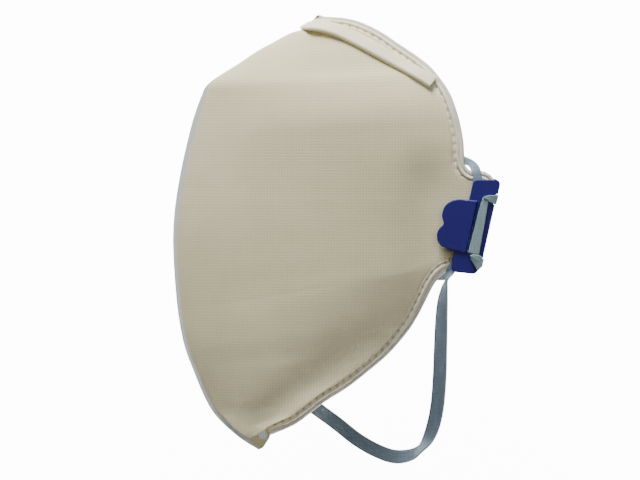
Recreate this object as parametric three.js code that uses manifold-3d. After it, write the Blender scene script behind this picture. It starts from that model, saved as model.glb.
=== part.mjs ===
// Fold-flat respirator, in millimetres.
// The folded front edge points to -Y, the face goes in from +Y, up is +Z and the middle plane is X = 0.
// The wearer's left is +X. The origin is on the nose ridge, where the hem rests on the bridge of the nose.

import * as THREE from 'three';
import { mergeVertices } from 'three/addons/utils/BufferGeometryUtils.js';
import Module from 'manifold-3d';

const wasm = await Module();
wasm.setup();

// Driving sizes
const WALL = 1.5; // filter sheet
const GAP = 0.3; // between two pieces that touch
const HEM_WIDTH = 3.2;
const HEM_SEAM = 0.45; // between the sheet and the hem, so that GAP is left in the corners
const WELD_HALF = 0.6; // half the thickness of the welded flange
const KNEE = 0.86; // share of a section's points that lie before the ear tab
const PRESSED = { y: [26, 44], top: [42, 68], foot: [88, 110] }; // where the clip presses the sheet flat
const STRIP = { width: 5.0, thick: 1.2 };
const ELASTIC = { width: 5.2, thick: 0.8 };
const CLIP = { y: 62.45, z: -78.35, lean: 12.5, foot: 18.3, frame: 19.9, top: 21.1, plate: 21.7 };

// A table's rows as objects with named columns
const table = (names, rows) => rows.map((row) => Object.fromEntries(names.map((name, i) => [name, row[i]])));

// The front edge in the middle plane: the nose ridge, then the weld, then the chin
const FRONT_EDGE = table(['y', 'z'], [
  [0.6, -1.5], [-6.2, -4.7], [-10.5, -6.1], [-16.3, -9.2], [-22.6, -12.7], [-29.2, -17.1], [-40.0, -24.2],
  [-43.1, -29.4], [-46.4, -39.0], [-49.7, -52.6], [-52.1, -65.5], [-53.3, -76.9], [-53.3, -87.9], [-52.0, -105.6],
  [-49.8, -118.9], [-46.5, -128.8], [-39.5, -144.3], [-30.2, -153.9], [-21.3, -159.7],
]);

// Sections of one half, from the nose down to the chin. Each starts at a share of the front edge and ends at the
// outer edge of the hem. half_open is the hem's distance from the middle plane. belly is how far the sheet swells
// between its ends, bend is how quickly it leaves the front edge and crease is how sharply it is folded there.
// flange is the width of the weld, and lean is how far the hem tilts towards the middle plane, as a slope.
const SECTIONS = table(
  ['name', 'front', 'hem_y', 'hem_z', 'half_open', 'belly', 'bend', 'crease', 'flange', 'lean'],
  [
    ['ridge end', 0.016, 2.2, -0.3, 3.2, 0.0, 2.0, 0.56, 0.5, 0.60],
    ['nose', 0.034, 7.5, -0.4, 4.4, 0.2, 2.0, 0.58, 0.5, 0.60],
    ['nose', 0.065, 13.1, -1.4, 5.6, 0.5, 2.0, 0.62, 0.5, 0.55],
    ['nose', 0.100, 18.1, -3.2, 6.8, 0.9, 2.0, 0.65, 0.5, 0.50],
    ['nose', 0.135, 23.7, -6.1, 8.2, 1.4, 2.0, 0.68, 0.5, 0.45],
    ['nose', 0.170, 28.6, -9.4, 9.6, 2.1, 2.0, 0.70, 0.5, 0.40],
    ['strip end', 0.225, 37.3, -15.3, 11.8, 3.2, 2.0, 0.76, 0.7, 0.34],
    ['cheek', 0.260, 42.5, -19.9, 13.9, 4.2, 2.0, 0.86, 1.4, 0.28],
    ['cheek', 0.300, 47.9, -27.3, 15.8, 4.9, 2.1, 0.95, 1.9, 0.20],
    ['cheek', 0.335, 50.7, -34.2, 16.9, 5.1, 2.2, 1.00, 2.0, 0.12],
    ['cheek', 0.365, 52.4, -40.6, 17.4, 5.0, 2.2, 1.00, 2.0, 0.08],
    ['cheek', 0.395, 53.3, -46.2, 17.8, 4.8, 2.2, 1.00, 2.0, 0.04],
    ['upper neck', 0.420, 53.6, -51.7, 18.0, 4.65, 2.2, 1.00, 1.9, 0.00],
    ['upper neck', 0.437, 54.1, -54.6, 18.0, 4.6, 2.2, 1.00, 1.8, 0.00],
    ['tab top', 0.450, 56.2, -56.6, 18.0, 4.55, 2.2, 1.00, 1.8, 0.00],
    ['tab top', 0.460, 58.9, -56.7, 18.0, 4.5, 2.2, 1.00, 1.7, 0.00],
    ['tab top', 0.468, 61.7, -57.0, 18.0, 4.5, 2.2, 1.00, 1.7, 0.00],
    ['tab corner', 0.478, 63.8, -58.7, 18.0, 4.45, 2.2, 1.00, 1.6, 0.00],
    ['tab back', 0.490, 64.5, -61.8, 18.0, 4.4, 2.2, 1.00, 1.6, 0.00],
    ['tab back', 0.520, 62.8, -69.5, 18.0, 4.35, 2.2, 1.00, 1.5, 0.00],
    ['tab back', 0.560, 60.6, -78.5, 18.0, 4.3, 2.2, 1.00, 1.4, 0.00],
    ['tab back', 0.600, 58.6, -87.0, 18.0, 4.3, 2.2, 1.00, 1.3, 0.00],
    ['tab corner', 0.620, 57.6, -90.8, 18.0, 4.3, 2.2, 1.00, 1.3, 0.00],
    ['tab foot', 0.635, 55.1, -93.0, 18.0, 4.3, 2.2, 1.00, 1.3, 0.00],
    ['tab foot', 0.650, 51.4, -93.3, 18.0, 4.3, 2.2, 1.00, 1.3, 0.00],
    ['lower neck', 0.665, 47.9, -93.0, 17.98, 4.35, 2.2, 1.00, 1.3, 0.05],
    ['lower neck', 0.680, 45.3, -94.4, 17.85, 4.45, 2.2, 1.00, 1.3, 0.10],
    ['jaw', 0.700, 42.6, -97.8, 17.5, 4.5, 2.2, 1.00, 1.3, 0.16],
    ['jaw', 0.720, 39.5, -103.8, 16.8, 4.65, 2.2, 1.00, 1.3, 0.22],
    ['jaw', 0.740, 37.0, -108.7, 16.1, 4.85, 2.2, 1.00, 1.3, 0.27],
    ['jaw', 0.760, 33.5, -114.4, 15.1, 5.1, 2.2, 1.00, 1.3, 0.30],
    ['jaw', 0.787, 27.3, -121.9, 13.3, 5.6, 2.1, 1.00, 1.3, 0.34],
    ['jaw', 0.810, 22.0, -126.9, 11.8, 6.0, 2.1, 1.00, 1.4, 0.36],
    ['chin', 0.850, 11.4, -135.5, 8.9, 6.3, 2.0, 1.00, 1.5, 0.36],
    ['chin', 0.885, 2.4, -141.4, 6.6, 5.8, 2.0, 1.00, 1.6, 0.34],
    ['chin', 0.925, -6.5, -148.5, 4.3, 3.8, 1.9, 1.00, 1.8, 0.28],
    ['chin', 0.945, -11.0, -151.1, 3.2, 2.2, 1.8, 1.00, 2.0, 0.20],
    ['hem end', 0.965, -16.0, -153.2, 2.5, 0.8, 1.6, 1.00, 2.2, 0.00],
  ],
);

// The chin tab under the hem's end, where the two halves are welded flat
const CHIN_TAB = table(['front', 'back_y', 'back_z'], [
  [0.977, -17.7, -154.3],
  [0.988, -18.9, -156.5],
  [0.996, -20.3, -158.6],
]);

// Curves through tables

// A column of a table at a place between its rows, by a Catmull-Rom curve
function between(rows, name, place) {
  const i = Math.min(Math.floor(place), rows.length - 2);
  const u = place - i;
  const [a, b, c, d] = [-1, 0, 1, 2].map((k) => rows[THREE.MathUtils.clamp(i + k, 0, rows.length - 1)][name]);
  return 0.5 * (2 * b + (c - a) * u + (2 * a - 5 * b + 4 * c - d) * u * u + (3 * b - a - 3 * c + d) * u * u * u);
}

const EDGE_STEPS = 16;
const edgeLine = [];
for (let i = 0; i <= (FRONT_EDGE.length - 1) * EDGE_STEPS; i++) {
  const place = i / EDGE_STEPS;
  edgeLine.push(new THREE.Vector2(between(FRONT_EDGE, 'y', place), between(FRONT_EDGE, 'z', place)));
}
const edgeLength = [0];
edgeLine.slice(1).forEach((point, i) => edgeLength.push(edgeLength[i] + point.distanceTo(edgeLine[i])));

// The point at a share of the front edge's length
function frontPoint(share) {
  const target = share * edgeLength.at(-1);
  const i = Math.min(edgeLength.findIndex((length) => length >= target), edgeLine.length - 1);
  if (i <= 0) return edgeLine[0].clone();
  const u = (target - edgeLength[i - 1]) / (edgeLength[i] - edgeLength[i - 1]);
  return edgeLine[i - 1].clone().lerp(edgeLine[i], u);
}

// The hem's outer edge in space, and the direction from it into the sheet
const tabFirst = SECTIONS.findIndex((section) => section.name === 'upper neck');
const tabLast = SECTIONS.findLastIndex((section) => section.name === 'lower neck');
const TAB_ROOT = { top: new THREE.Vector2(46.5, -58.5), foot: new THREE.Vector2(42.5, -88.0) };

const tabShare = (place) => THREE.MathUtils.clamp((place - tabFirst) / (tabLast - tabFirst), 0, 1);
const tabWeight = (place) => Math.min(1, 4 * tabShare(place), 4 * (1 - tabShare(place)));

// Where a section turns into the ear tab. Elsewhere it is on the straight line from front to hem.
function knee(place, front, hem) {
  const root = TAB_ROOT.top.clone().lerp(TAB_ROOT.foot, tabShare(place));
  return front.clone().lerp(hem, KNEE).lerp(root, tabWeight(place));
}

function hemPoint(place) {
  return new THREE.Vector2(between(SECTIONS, 'hem_y', place), between(SECTIONS, 'hem_z', place));
}

function intoSheet(place) {
  const step = 0.25;
  const last = SECTIONS.length - 1;
  const along = hemPoint(Math.min(place + step, last)).sub(hemPoint(Math.max(place - step, 0))).normalize();
  const into = new THREE.Vector2(along.y, -along.x);
  if (place < 1) into.lerp(new THREE.Vector2(-0.86, -0.51), 0.6 * (1 - place)).normalize();
  return into;
}

// The sheet's rim, inside the hem
function rimPoint(place) {
  const lean = Math.asin(between(SECTIONS, 'lean', place));
  return hemPoint(place).addScaledVector(intoSheet(place), (HEM_WIDTH + HEM_SEAM) * Math.cos(lean));
}

// The distance over which a section swells: to the rim, or across the root of the ear tab as if there were no tab
function reachOf(place) {
  const straight = (at) => frontPoint(between(SECTIONS, 'front', at)).distanceTo(rimPoint(at));
  if (place <= tabFirst || place >= tabLast) return straight(place);
  return THREE.MathUtils.lerp(straight(tabFirst), straight(tabLast), tabShare(place));
}

// How flat the sheet is pressed under the clip, at a point of the side view
function pressed(point) {
  const { smoothstep } = THREE.MathUtils;
  const [y, below] = [point.x, -point.y];
  return smoothstep(y, ...PRESSED.y) * smoothstep(below, ...PRESSED.top) * (1 - smoothstep(below, ...PRESSED.foot));
}

// A section of the sheet: its points in the side view, at shares of the way from the front edge to the rim, and how
// far they stand from the middle plane
function section(place) {
  const col = (name) => between(SECTIONS, name, place);
  const front = frontPoint(col('front'));
  const rim = rimPoint(place);
  const bend = knee(place, front, rim);
  const flat = (share) =>
    share < KNEE
      ? front.clone().lerp(bend, share / KNEE)
      : bend.clone().lerp(rim, (share - KNEE) / (1 - KNEE));
  const length = front.distanceTo(bend) / KNEE;
  const reach = reachOf(place);
  const [flange, open, belly] = [col('flange'), col('half_open'), col('belly')];
  const x = (share) => {
    const distance = share * length;
    if (distance <= flange) return WELD_HALF * Math.min(1, distance / 0.25);
    const part = Math.max(0, (share - KNEE) / (1 - KNEE));
    const gone = THREE.MathUtils.lerp(Math.min(distance, length * KNEE), reach, part);
    const swell = Math.min(1, (gone - flange) / (reach - flange));
    const rise = Math.pow(1 - Math.pow(1 - swell, col('bend')), col('crease'));
    const free = WELD_HALF + (open - WELD_HALF) * rise + belly * 4 * swell * (1 - swell);
    return THREE.MathUtils.lerp(free, open, pressed(flat(share)));
  };
  return { length, flat, x, flange };
}

// Meshes

const colours = {
  sheet: { color: 0xd8d0b8, roughness: 0.95, metalness: 0 },
  strip: { color: 0xe6dfbb, roughness: 0.6, metalness: 0 },
  plastic: { color: 0x1f2470, roughness: 0.35, metalness: 0 },
  elastic: { color: 0x6f8594, roughness: 0.8, metalness: 0 },
};

const respirator = new THREE.Group();

function add(name, geometry, finish) {
  const mesh = new THREE.Mesh(geometry, new THREE.MeshStandardMaterial(colours[finish]));
  mesh.name = name;
  respirator.add(mesh);
}

function toGeometry(points, triangles) {
  const geometry = new THREE.BufferGeometry();
  geometry.setAttribute('position', new THREE.Float32BufferAttribute(points.flatMap((p) => [p.x, p.y, p.z]), 3));
  geometry.setIndex(triangles.flat());
  return geometry;
}

// A bar along stations, with flat ends: each ring holds the points of one station's cut, in the same order
function bar(rings) {
  const sides = rings[0].length;
  const triangles = [];
  for (let here = 0; here < (rings.length - 1) * sides; here += sides) {
    const next = here + sides;
    for (let k = 0; k < sides; k++) {
      const m = (k + 1) % sides;
      triangles.push([here + k, here + m, next + m], [here + k, next + m, next + k]);
    }
  }
  const end = (rings.length - 1) * sides;
  for (let k = 1; k < sides - 1; k++) {
    triangles.push([0, k + 1, k], [end, end + k, end + k + 1]);
  }
  return toGeometry(rings.flat(), triangles);
}

// Filter sheet: outer and inner faces of both halves, joined round the rim, the nose end and the chin
function filterShell() {
  const OUTER = 15;
  const INNER = 12;
  const rows = [];
  for (let place = 0; place <= SECTIONS.length - 1; place++) rows.push(section(place));

  const outerShares = (row) => {
    const shares = [0, 0.25 / row.length, row.flange / row.length];
    const start = shares[2];
    for (let k = 3; k <= OUTER; k++) shares.push(start + (1 - start) * Math.pow((k - 2) / (OUTER - 2), 1.25));
    return shares;
  };
  const innerX = (row, share) => {
    const step = 0.01;
    const slope = (row.x(Math.min(share + step, 1)) - row.x(Math.max(share - step, 0))) / (step * row.length);
    return row.x(share) - WALL * Math.min(1.35, Math.sqrt(1 + slope * slope * 0.25));
  };
  const apexOf = (row) => {
    let share = row.flange / row.length;
    while (innerX(row, share) < 0 && share < 0.98) share += 0.002;
    return share;
  };

  const points = [];
  const put = (x, flat) => points.push(new THREE.Vector3(x, flat.x, flat.y)) - 1;
  // Each grid row holds the columns -count..count, from the far rim over the front edge to the near rim
  const spread = (shares, xs, row) => {
    const flats = shares.map(row.flat);
    const far = shares.slice(1).map((_, k) => put(-xs[k + 1], flats[k + 1])).reverse();
    const middle = put(0, flats[0]);
    const near = shares.slice(1).map((_, k) => put(xs[k + 1], flats[k + 1]));
    return [...far, middle, ...near];
  };
  const outer = rows.map((row) => {
    const shares = outerShares(row);
    return spread(shares, shares.map(row.x), row);
  });
  const inner = rows.map((row) => {
    const apex = apexOf(row);
    const shares = [];
    for (let k = 0; k <= INNER; k++) shares.push(apex + (1 - apex) * Math.pow(k / INNER, 1.15));
    const xs = shares.map((share) => Math.max(innerX(row, share), 0.02));
    return spread(shares, xs, row);
  });
  // The chin tab carries the outer face on, flat
  for (const tab of CHIN_TAB) {
    const front = frontPoint(tab.front);
    const back = new THREE.Vector2(tab.back_y, tab.back_z);
    const length = front.distanceTo(back);
    const row = { flange: 0.4 * length, length, flat: (share) => front.clone().lerp(back, share) };
    const shares = outerShares(row);
    outer.push(spread(shares, shares.map((share) => WELD_HALF * Math.min(1, (share * length) / 0.25)), row));
  }

  const triangles = [];
  const quad = (a, b, c, d) => triangles.push([a, b, c], [a, c, d]);
  const weave = (grid, flip) => {
    for (let i = 0; i + 1 < grid.length; i++) {
      for (let k = 0; k + 1 < grid[i].length; k++) {
        const [a, b, c, d] = [grid[i][k], grid[i][k + 1], grid[i + 1][k + 1], grid[i + 1][k]];
        if (flip) quad(d, c, b, a);
        else quad(a, b, c, d);
      }
    }
  };
  weave(outer, true);
  weave(inner, false);
  const last = rows.length - 1;
  const near = (line) => line.at(-1);
  const far = (line) => line[0];
  for (let i = 0; i < last; i++) {
    quad(near(outer[i]), near(outer[i + 1]), near(inner[i + 1]), near(inner[i]));
    quad(far(outer[i + 1]), far(outer[i]), far(inner[i]), far(inner[i + 1]));
  }
  // Nose end: the lines have different numbers of points, so each half is zipped from the fold to the rim
  const zip = (a, b) => {
    let [i, k] = [0, 0];
    while (i < a.length - 1 || k < b.length - 1) {
      const onA = k === b.length - 1 || (i < a.length - 1 && (i + 1) / (a.length - 1) <= (k + 1) / (b.length - 1));
      if (onA) triangles.push([a[i], a[i + 1], b[k]]), i++;
      else triangles.push([a[i], b[k + 1], b[k]]), k++;
    }
  };
  const half = (line, side) => {
    const middle = (line.length - 1) / 2;
    return side > 0 ? line.slice(middle) : line.slice(0, middle + 1);
  };
  zip(half(outer[0], 1), half(inner[0], 1));
  zip(half(outer[0], -1), half(inner[0], -1));
  // Floor of the hollow at the hem's end
  const floorNear = half(inner[last], 1);
  const floorFar = half(inner[last], -1).reverse();
  for (let k = 0; k < INNER; k++) {
    if (k === 0) triangles.push([floorNear[0], floorNear[1], floorFar[1]]);
    else quad(floorNear[k], floorNear[k + 1], floorFar[k + 1], floorFar[k]);
  }
  // Back edge of the chin tab
  const [outFar, inFar, inNear, outNear] = [far(outer[last]), far(inner[last]), near(inner[last]), near(outer[last])];
  const [lowFar, lowNear] = [far(outer[last + 1]), near(outer[last + 1])];
  triangles.push([outFar, inFar, lowFar], [inFar, inNear, lowFar], [inNear, lowNear, lowFar], [inNear, outNear, lowNear]);
  for (let i = last + 1; i + 1 < outer.length; i++) {
    quad(far(outer[i]), near(outer[i]), near(outer[i + 1]), far(outer[i + 1]));
  }
  const tipNear = half(outer.at(-1), 1);
  const tipFar = half(outer.at(-1), -1).reverse();
  for (let k = 0; k < OUTER; k++) {
    if (k === 0) triangles.push([tipNear[1], tipNear[0], tipFar[1]]);
    else quad(tipNear[k + 1], tipNear[k], tipFar[k], tipFar[k + 1]);
  }
  return toGeometry(points, triangles);
}

// The same geometry on the other side of the middle plane
function mirrored(geometry) {
  const copy = geometry.clone();
  const { array: index } = copy.index;
  for (let i = 0; i < index.length; i += 3) [index[i + 1], index[i + 2]] = [index[i + 2], index[i + 1]];
  copy.attributes.position.array.forEach((value, k, array) => (array[k] = k % 3 === 0 ? -value : value));
  return copy;
}

// Hem: its cut, from the free edge (a = 0) into the sheet, and out from the middle of the wall (b)
const HEM_CUT = table(['part', 'a', 'b'], [
  ['edge', 0.35, -0.75],
  ['inside', 1.6, -0.95],
  ['inside', HEM_WIDTH, -0.7],
  ['rib', HEM_WIDTH, 0.6],
  ['rib', 2.6, 1.15],
  ['rib', 1.9, 1.1],
  ['groove', 1.4, 0.5],
  ['edge', 1.0, 0.85],
  ['edge', 0.35, 0.75],
  ['edge', 0.0, 0.0],
]);

// Over the ridge: the shares of the sheet's first section that it follows, and how far it lies above that section
const HEM_RIDGE = table(['share', 'rise'], [[0.6, 0.45], [0.25, 0.75]]);

function faceHem() {
  const RIDGE = new THREE.Vector3(0, -0.86, -0.51);
  const RIDGE_HALF = 2;
  const CHIN_SHORT = 0.12; // of a row: the hem's ends stop short of the chin tab
  // Stations of one side: a point in the middle of the wall at the rim, the way in and the way out
  const side = [];
  const last = SECTIONS.length - 1;
  const places = SECTIONS.map((_, i) => Math.min(last - i, last - CHIN_SHORT));
  for (const place of places) {
    const rim = rimPoint(place);
    const into = intoSheet(place);
    const lean = Math.asin(between(SECTIONS, 'lean', place));
    side.push({
      rim: new THREE.Vector3(between(SECTIONS, 'half_open', place) - WALL / 2, rim.x, rim.y),
      into: new THREE.Vector3(Math.sin(lean), into.x * Math.cos(lean), into.y * Math.cos(lean)),
    });
  }
  // Over the ridge the hem follows the first section of the sheet
  const first = section(0);
  const start = side.at(-1).into;
  for (const { share, rise } of HEM_RIDGE) {
    const flat = first.flat(share);
    side.push({
      rim: new THREE.Vector3(first.x(share) - WALL / 2, flat.x, flat.y + rise),
      into: start.clone().lerp(RIDGE, 1 - share).normalize(),
    });
  }
  const top = first.flat(0);
  const middle = { rim: new THREE.Vector3(0, top.x, top.y + HEM_RIDGE.at(-1).rise), into: RIDGE };
  const flip = (v) => new THREE.Vector3(-v.x, v.y, v.z);
  const far = side.map(({ rim, into }) => ({ rim: flip(rim), into: flip(into) })).reverse();
  const stations = [...side, middle, ...far];
  const rings = stations.map(({ rim, into }, i) => {
    const before = stations[Math.max(i - 1, 0)].rim;
    const after = stations[Math.min(i + 1, stations.length - 1)].rim;
    const along = after.clone().sub(before).normalize();
    const way = into.clone().addScaledVector(along, -into.dot(along)).normalize();
    const out = new THREE.Vector3().crossVectors(along, way).normalize();
    const square = new THREE.Vector3(Math.sign(rim.x), 0, 0).lerp(out, Math.abs(rim.x) < RIDGE_HALF ? 1 : 0);
    return HEM_CUT.map(({ a, b }) =>
      rim.clone().addScaledVector(way, a - HEM_WIDTH - HEM_SEAM).addScaledVector(a < HEM_WIDTH ? out : square, b));
  });
  return bar(rings);
}

// A point of the near outer face and its normal
function onSheet(place, share) {
  const row = section(place);
  const flat = row.flat(share);
  return new THREE.Vector3(row.x(share), flat.x, flat.y);
}

function sheetAt(y, z) {
  const target = new THREE.Vector2(y, z);
  const miss = ([place, share]) => {
    const row = section(THREE.MathUtils.clamp(place, 0, SECTIONS.length - 1));
    return row.flat(THREE.MathUtils.clamp(share, 0, 1)).distanceTo(target);
  };
  let best = [0, 0];
  let least = Infinity;
  for (let place = 0; place <= 12; place += 0.5) {
    for (let share = 0; share <= 1; share += 0.05) {
      const distance = miss([place, share]);
      if (distance < least) [best, least] = [[place, share], distance];
    }
  }
  for (let step = [0.25, 0.025]; step[0] > 1e-4; step = step.map((v) => v * 0.6)) {
    for (const move of [[1, 0], [-1, 0], [0, 1], [0, -1], [1, 1], [-1, -1], [1, -1], [-1, 1]]) {
      const trial = best.map((v, k) => v + move[k] * step[k]);
      if (miss(trial) < least) [best, least] = [trial, miss(trial)];
    }
  }
  const place = THREE.MathUtils.clamp(best[0], 0.02, SECTIONS.length - 1.02);
  const share = THREE.MathUtils.clamp(best[1], 0.02, 0.98);
  const point = onSheet(place, share);
  const across = onSheet(place, share + 0.01).sub(onSheet(place, share - 0.01));
  const down = onSheet(place + 0.01, share).sub(onSheet(place - 0.01, share));
  return { point, normal: new THREE.Vector3().crossVectors(down, across).normalize() };
}

// A flat bar with rounded edges: stations give the centre, the way across or the way out, the width and the thickness
function flatBar(stations) {
  const rings = stations.map(({ at, across, facing, width, thick }, i) => {
    const before = stations[Math.max(i - 1, 0)].at;
    const after = stations[Math.min(i + 1, stations.length - 1)].at;
    const along = after.clone().sub(before).normalize();
    const side = across ?? new THREE.Vector3().crossVectors(along, facing);
    const wide = side.clone().addScaledVector(along, -side.dot(along)).normalize();
    const out = new THREE.Vector3().crossVectors(wide, along).normalize();
    const [w, t, c] = [width / 2, thick / 2, Math.min(thick * 0.35, width * 0.2)];
    const cut = [[-w, -t + c], [-w, t - c], [-w + c, t], [w - c, t], [w, t - c], [w, -t + c], [w - c, -t], [-w + c, -t]];
    return cut.map(([a, b]) => at.clone().addScaledVector(wide, a).addScaledVector(out, b));
  });
  return bar(rings);
}

// Nose strip: its centre line on the near half, from its end up to the ridge, as the side view shows it
const STRIP_LINE = table(['y', 'z', 'seat'], [
  [42.0, -24.8, 0.5], [38.8, -22.8, 0.5], [35.4, -20.9, 0.5], [28.4, -16.8, 0.5], [21.4, -12.9, 0.5],
  [15.5, -9.7, 0.5], [10.5, -7.2, 0.6], [6.0, -5.5, 0.9], [2.0, -4.7, 1.1], [-1.4, -4.5, 1.2],
]);
const STRIP_TOP = { y: -5.2, z: -2.7 }; // its centre on the ridge

function noseStrip() {
  const facingRidge = new THREE.Vector3(0, -0.51, 0.86);
  const size = { width: STRIP.width, thick: STRIP.thick };
  const side = STRIP_LINE.map(({ y, z, seat }) => {
    const { point, normal } = sheetAt(y, z);
    return { at: point.addScaledVector(normal, seat + STRIP.thick / 2), facing: normal, ...size };
  });
  const flip = (v) => new THREE.Vector3(-v.x, v.y, v.z);
  const middle = { at: new THREE.Vector3(0, STRIP_TOP.y, STRIP_TOP.z), facing: facingRidge, ...size };
  const far = side.map((station) => ({ ...station, at: flip(station.at), facing: flip(station.facing) })).reverse();
  return flatBar([...side, middle, ...far]);
}

// Clips. Their outlines lie on a plane that leans with the ear tab: u points back, v up along the spine.
const clipPlane = new THREE.Matrix4().makeBasis(
  new THREE.Vector3(0, Math.cos(THREE.MathUtils.degToRad(CLIP.lean)), -Math.sin(THREE.MathUtils.degToRad(CLIP.lean))),
  new THREE.Vector3(0, Math.sin(THREE.MathUtils.degToRad(CLIP.lean)), Math.cos(THREE.MathUtils.degToRad(CLIP.lean))),
  new THREE.Vector3(1, 0, 0),
).setPosition(0, CLIP.y, CLIP.z);

const CORNERS = ['u', 'v', 'radius'];
const CLIP_FRAME = table(CORNERS, [
  [-9.5, 17.1, 1.6], [0.35, 19.3, 2.4], [0.3, 14.1, 0.3], [-0.7, 13.9, 0.1], [-0.7, 9.9, 0.1], [0.0, 9.6, 0.3],
  [0.0, -9.6, 0.3], [-0.9, -9.9, 0.1], [-0.9, -13.3, 0.1], [-0.4, -13.6, 0.2], [-1.2, -16.2, 1.6],
  [-10.4, -17.2, 2.2], [-10.7, -8.8, 0.8], [-9.5, 9.4, 0.8],
]);
const CLIP_SLOT = table(CORNERS, [[-5.9, 10.3, 0.5], [-5.9, -9.3, 0.5], [-2.1, -9.3, 0.5], [-2.1, 10.3, 0.5]]);
const CLIP_PLATE = table(CORNERS, [
  [-6.2, 10.1, 0.3], [-6.2, -9.5, 0.3], [-13.4, -9.4, 1.3], [-17.0, -8.6, 2.2], [-18.7, -4.0, 2.4], [-16.4, -0.8, 0.9],
  [-18.0, 1.6, 1.4], [-17.8, 6.2, 2.4], [-14.2, 9.0, 1.9],
]);
const CLIP_FOOT = table(CORNERS, [[-7.4, 8.4, 0.8], [-7.4, -8.0, 0.8], [-15.6, -7.4, 2.0], [-15.6, 7.0, 2.0]]);

function roundedPath(corners, path) {
  corners.forEach(({ u, v, radius }, i) => {
    const corner = new THREE.Vector2(u, v);
    const [before, after] = [corners.at(i - 1), corners[(i + 1) % corners.length]].map((c) => new THREE.Vector2(c.u, c.v));
    const enter = corner.clone().addScaledVector(before.sub(corner).normalize(), radius);
    const leave = corner.clone().addScaledVector(after.sub(corner).normalize(), radius);
    if (i === 0) path.moveTo(enter.x, enter.y);
    else path.lineTo(enter.x, enter.y);
    path.quadraticCurveTo(corner.x, corner.y, leave.x, leave.y);
  });
  path.closePath();
  return path;
}

// A plate of a clip from one distance to another off the middle plane
function plate(corners, from, to, hole = null) {
  const shape = roundedPath(corners, new THREE.Shape());
  if (hole) shape.holes.push(roundedPath(hole, new THREE.Path()));
  const geometry = new THREE.ExtrudeGeometry(shape, { depth: to - from, bevelEnabled: false, curveSegments: 5 });
  return geometry.translate(0, 0, from).applyMatrix4(clipPlane);
}

function solid(geometry) {
  const bare = new THREE.BufferGeometry().setAttribute('position', geometry.attributes.position);
  if (geometry.index) bare.setIndex(geometry.index);
  const merged = mergeVertices(bare, 1e-4);
  const mesh = new wasm.Mesh({
    numProp: 3,
    vertProperties: merged.attributes.position.array,
    triVerts: new Uint32Array(merged.index.array),
  });
  return new wasm.Manifold(mesh);
}

function joined(geometries) {
  const whole = geometries.map(solid).reduce((sum, piece) => sum.add(piece));
  const mesh = whole.getMesh();
  const geometry = new THREE.BufferGeometry();
  geometry.setAttribute('position', new THREE.BufferAttribute(mesh.vertProperties, 3));
  geometry.setIndex(new THREE.BufferAttribute(mesh.triVerts, 1));
  return geometry;
}

function strapClip() {
  return joined([
    plate(CLIP_FRAME, CLIP.frame, CLIP.top, CLIP_SLOT),
    plate(CLIP_PLATE, CLIP.frame - 0.1, CLIP.plate),
    plate(CLIP_FOOT, CLIP.foot, CLIP.frame),
  ]);
}

// The elastic where it is threaded: up over the slot, and round the spine at both ends to the back
const BAND_FRONT = table(CORNERS, [
  [-5.4, -9.0, 0.2], [-4.6, -10.5, 0.2], [-0.9, -14.4, 0.4], [0.4, -13.1, 0.3], [0.4, -10.1, 0.2], [-1.6, -8.8, 0.2],
  [-2.3, 10.1, 0.2], [0.6, 10.1, 0.2], [0.6, 13.7, 0.2], [-4.4, 11.9, 0.3], [-5.6, 10.4, 0.3],
]);
const BAND_TURN = { inside: -0.4, outside: 0.45 };
const BAND_LEGS = table(['low', 'high', 'end'], [[10.2, 13.6, -4.5], [-13.0, -10.2, -6.8]]);

function clipBand() {
  const back = CLIP.frame - GAP;
  const box = (u0, u1, v0, v1, from, to) =>
    plate(table(CORNERS, [[u0, v0, 0.1], [u1, v0, 0.1], [u1, v1, 0.1], [u0, v1, 0.1]]), from, to);
  const { inside, outside } = BAND_TURN;
  const pieces = [plate(BAND_FRONT, CLIP.top + GAP, CLIP.top + GAP + ELASTIC.thick)];
  for (const { low, high, end } of BAND_LEGS) {
    pieces.push(box(inside, outside, low, high, back - ELASTIC.thick, CLIP.top + GAP + 0.2));
    pieces.push(box(end, inside + 0.1, low, high, back - ELASTIC.thick, back));
  }
  return joined(pieces);
}

// Straps: rows of centre points and the way across the elastic

// Crown strap, from behind the near clip's upper tab over the neck of the hem into the hollow, to its middle
const CROWN = table(['x', 'y', 'z', 'across_y', 'across_z', 'width'], [
  [19.2, 58.4, -66.4, 0.98, -0.22, 3.4],
  [19.2, 58.4, -62.0, 1.0, 0.0, 3.4],
  [19.2, 58.3, -58.6, 1.0, 0.1, 3.4],
  [18.9, 57.9, -56.4, 0.93, 0.35, 3.2],
  [17.6, 56.9, -54.5, 0.75, 0.66, 2.9],
  [15.2, 55.1, -53.2, 0.45, 0.87, 2.7],
  [13.4, 52.4, -52.6, 0.1, 1.0, 3.4],
  [12.6, 47.0, -52.2, 0.0, 1.0, 4.6],
  [12.0, 36.0, -51.5, 0.0, 1.0, 5.2],
  [11.0, 20.0, -51.0, 0.0, 1.0, 5.2],
  [9.8, 4.0, -50.5, 0.0, 1.0, 5.2],
  [8.4, -8.0, -50.0, 0.0, 1.0, 5.2],
  [6.8, -14.5, -49.8, 0.0, 1.0, 5.2],
  [4.0, -19.0, -49.7, 0.0, 1.0, 5.2],
  [0.0, -20.8, -49.6, 0.0, 1.0, 5.2],
]);

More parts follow.
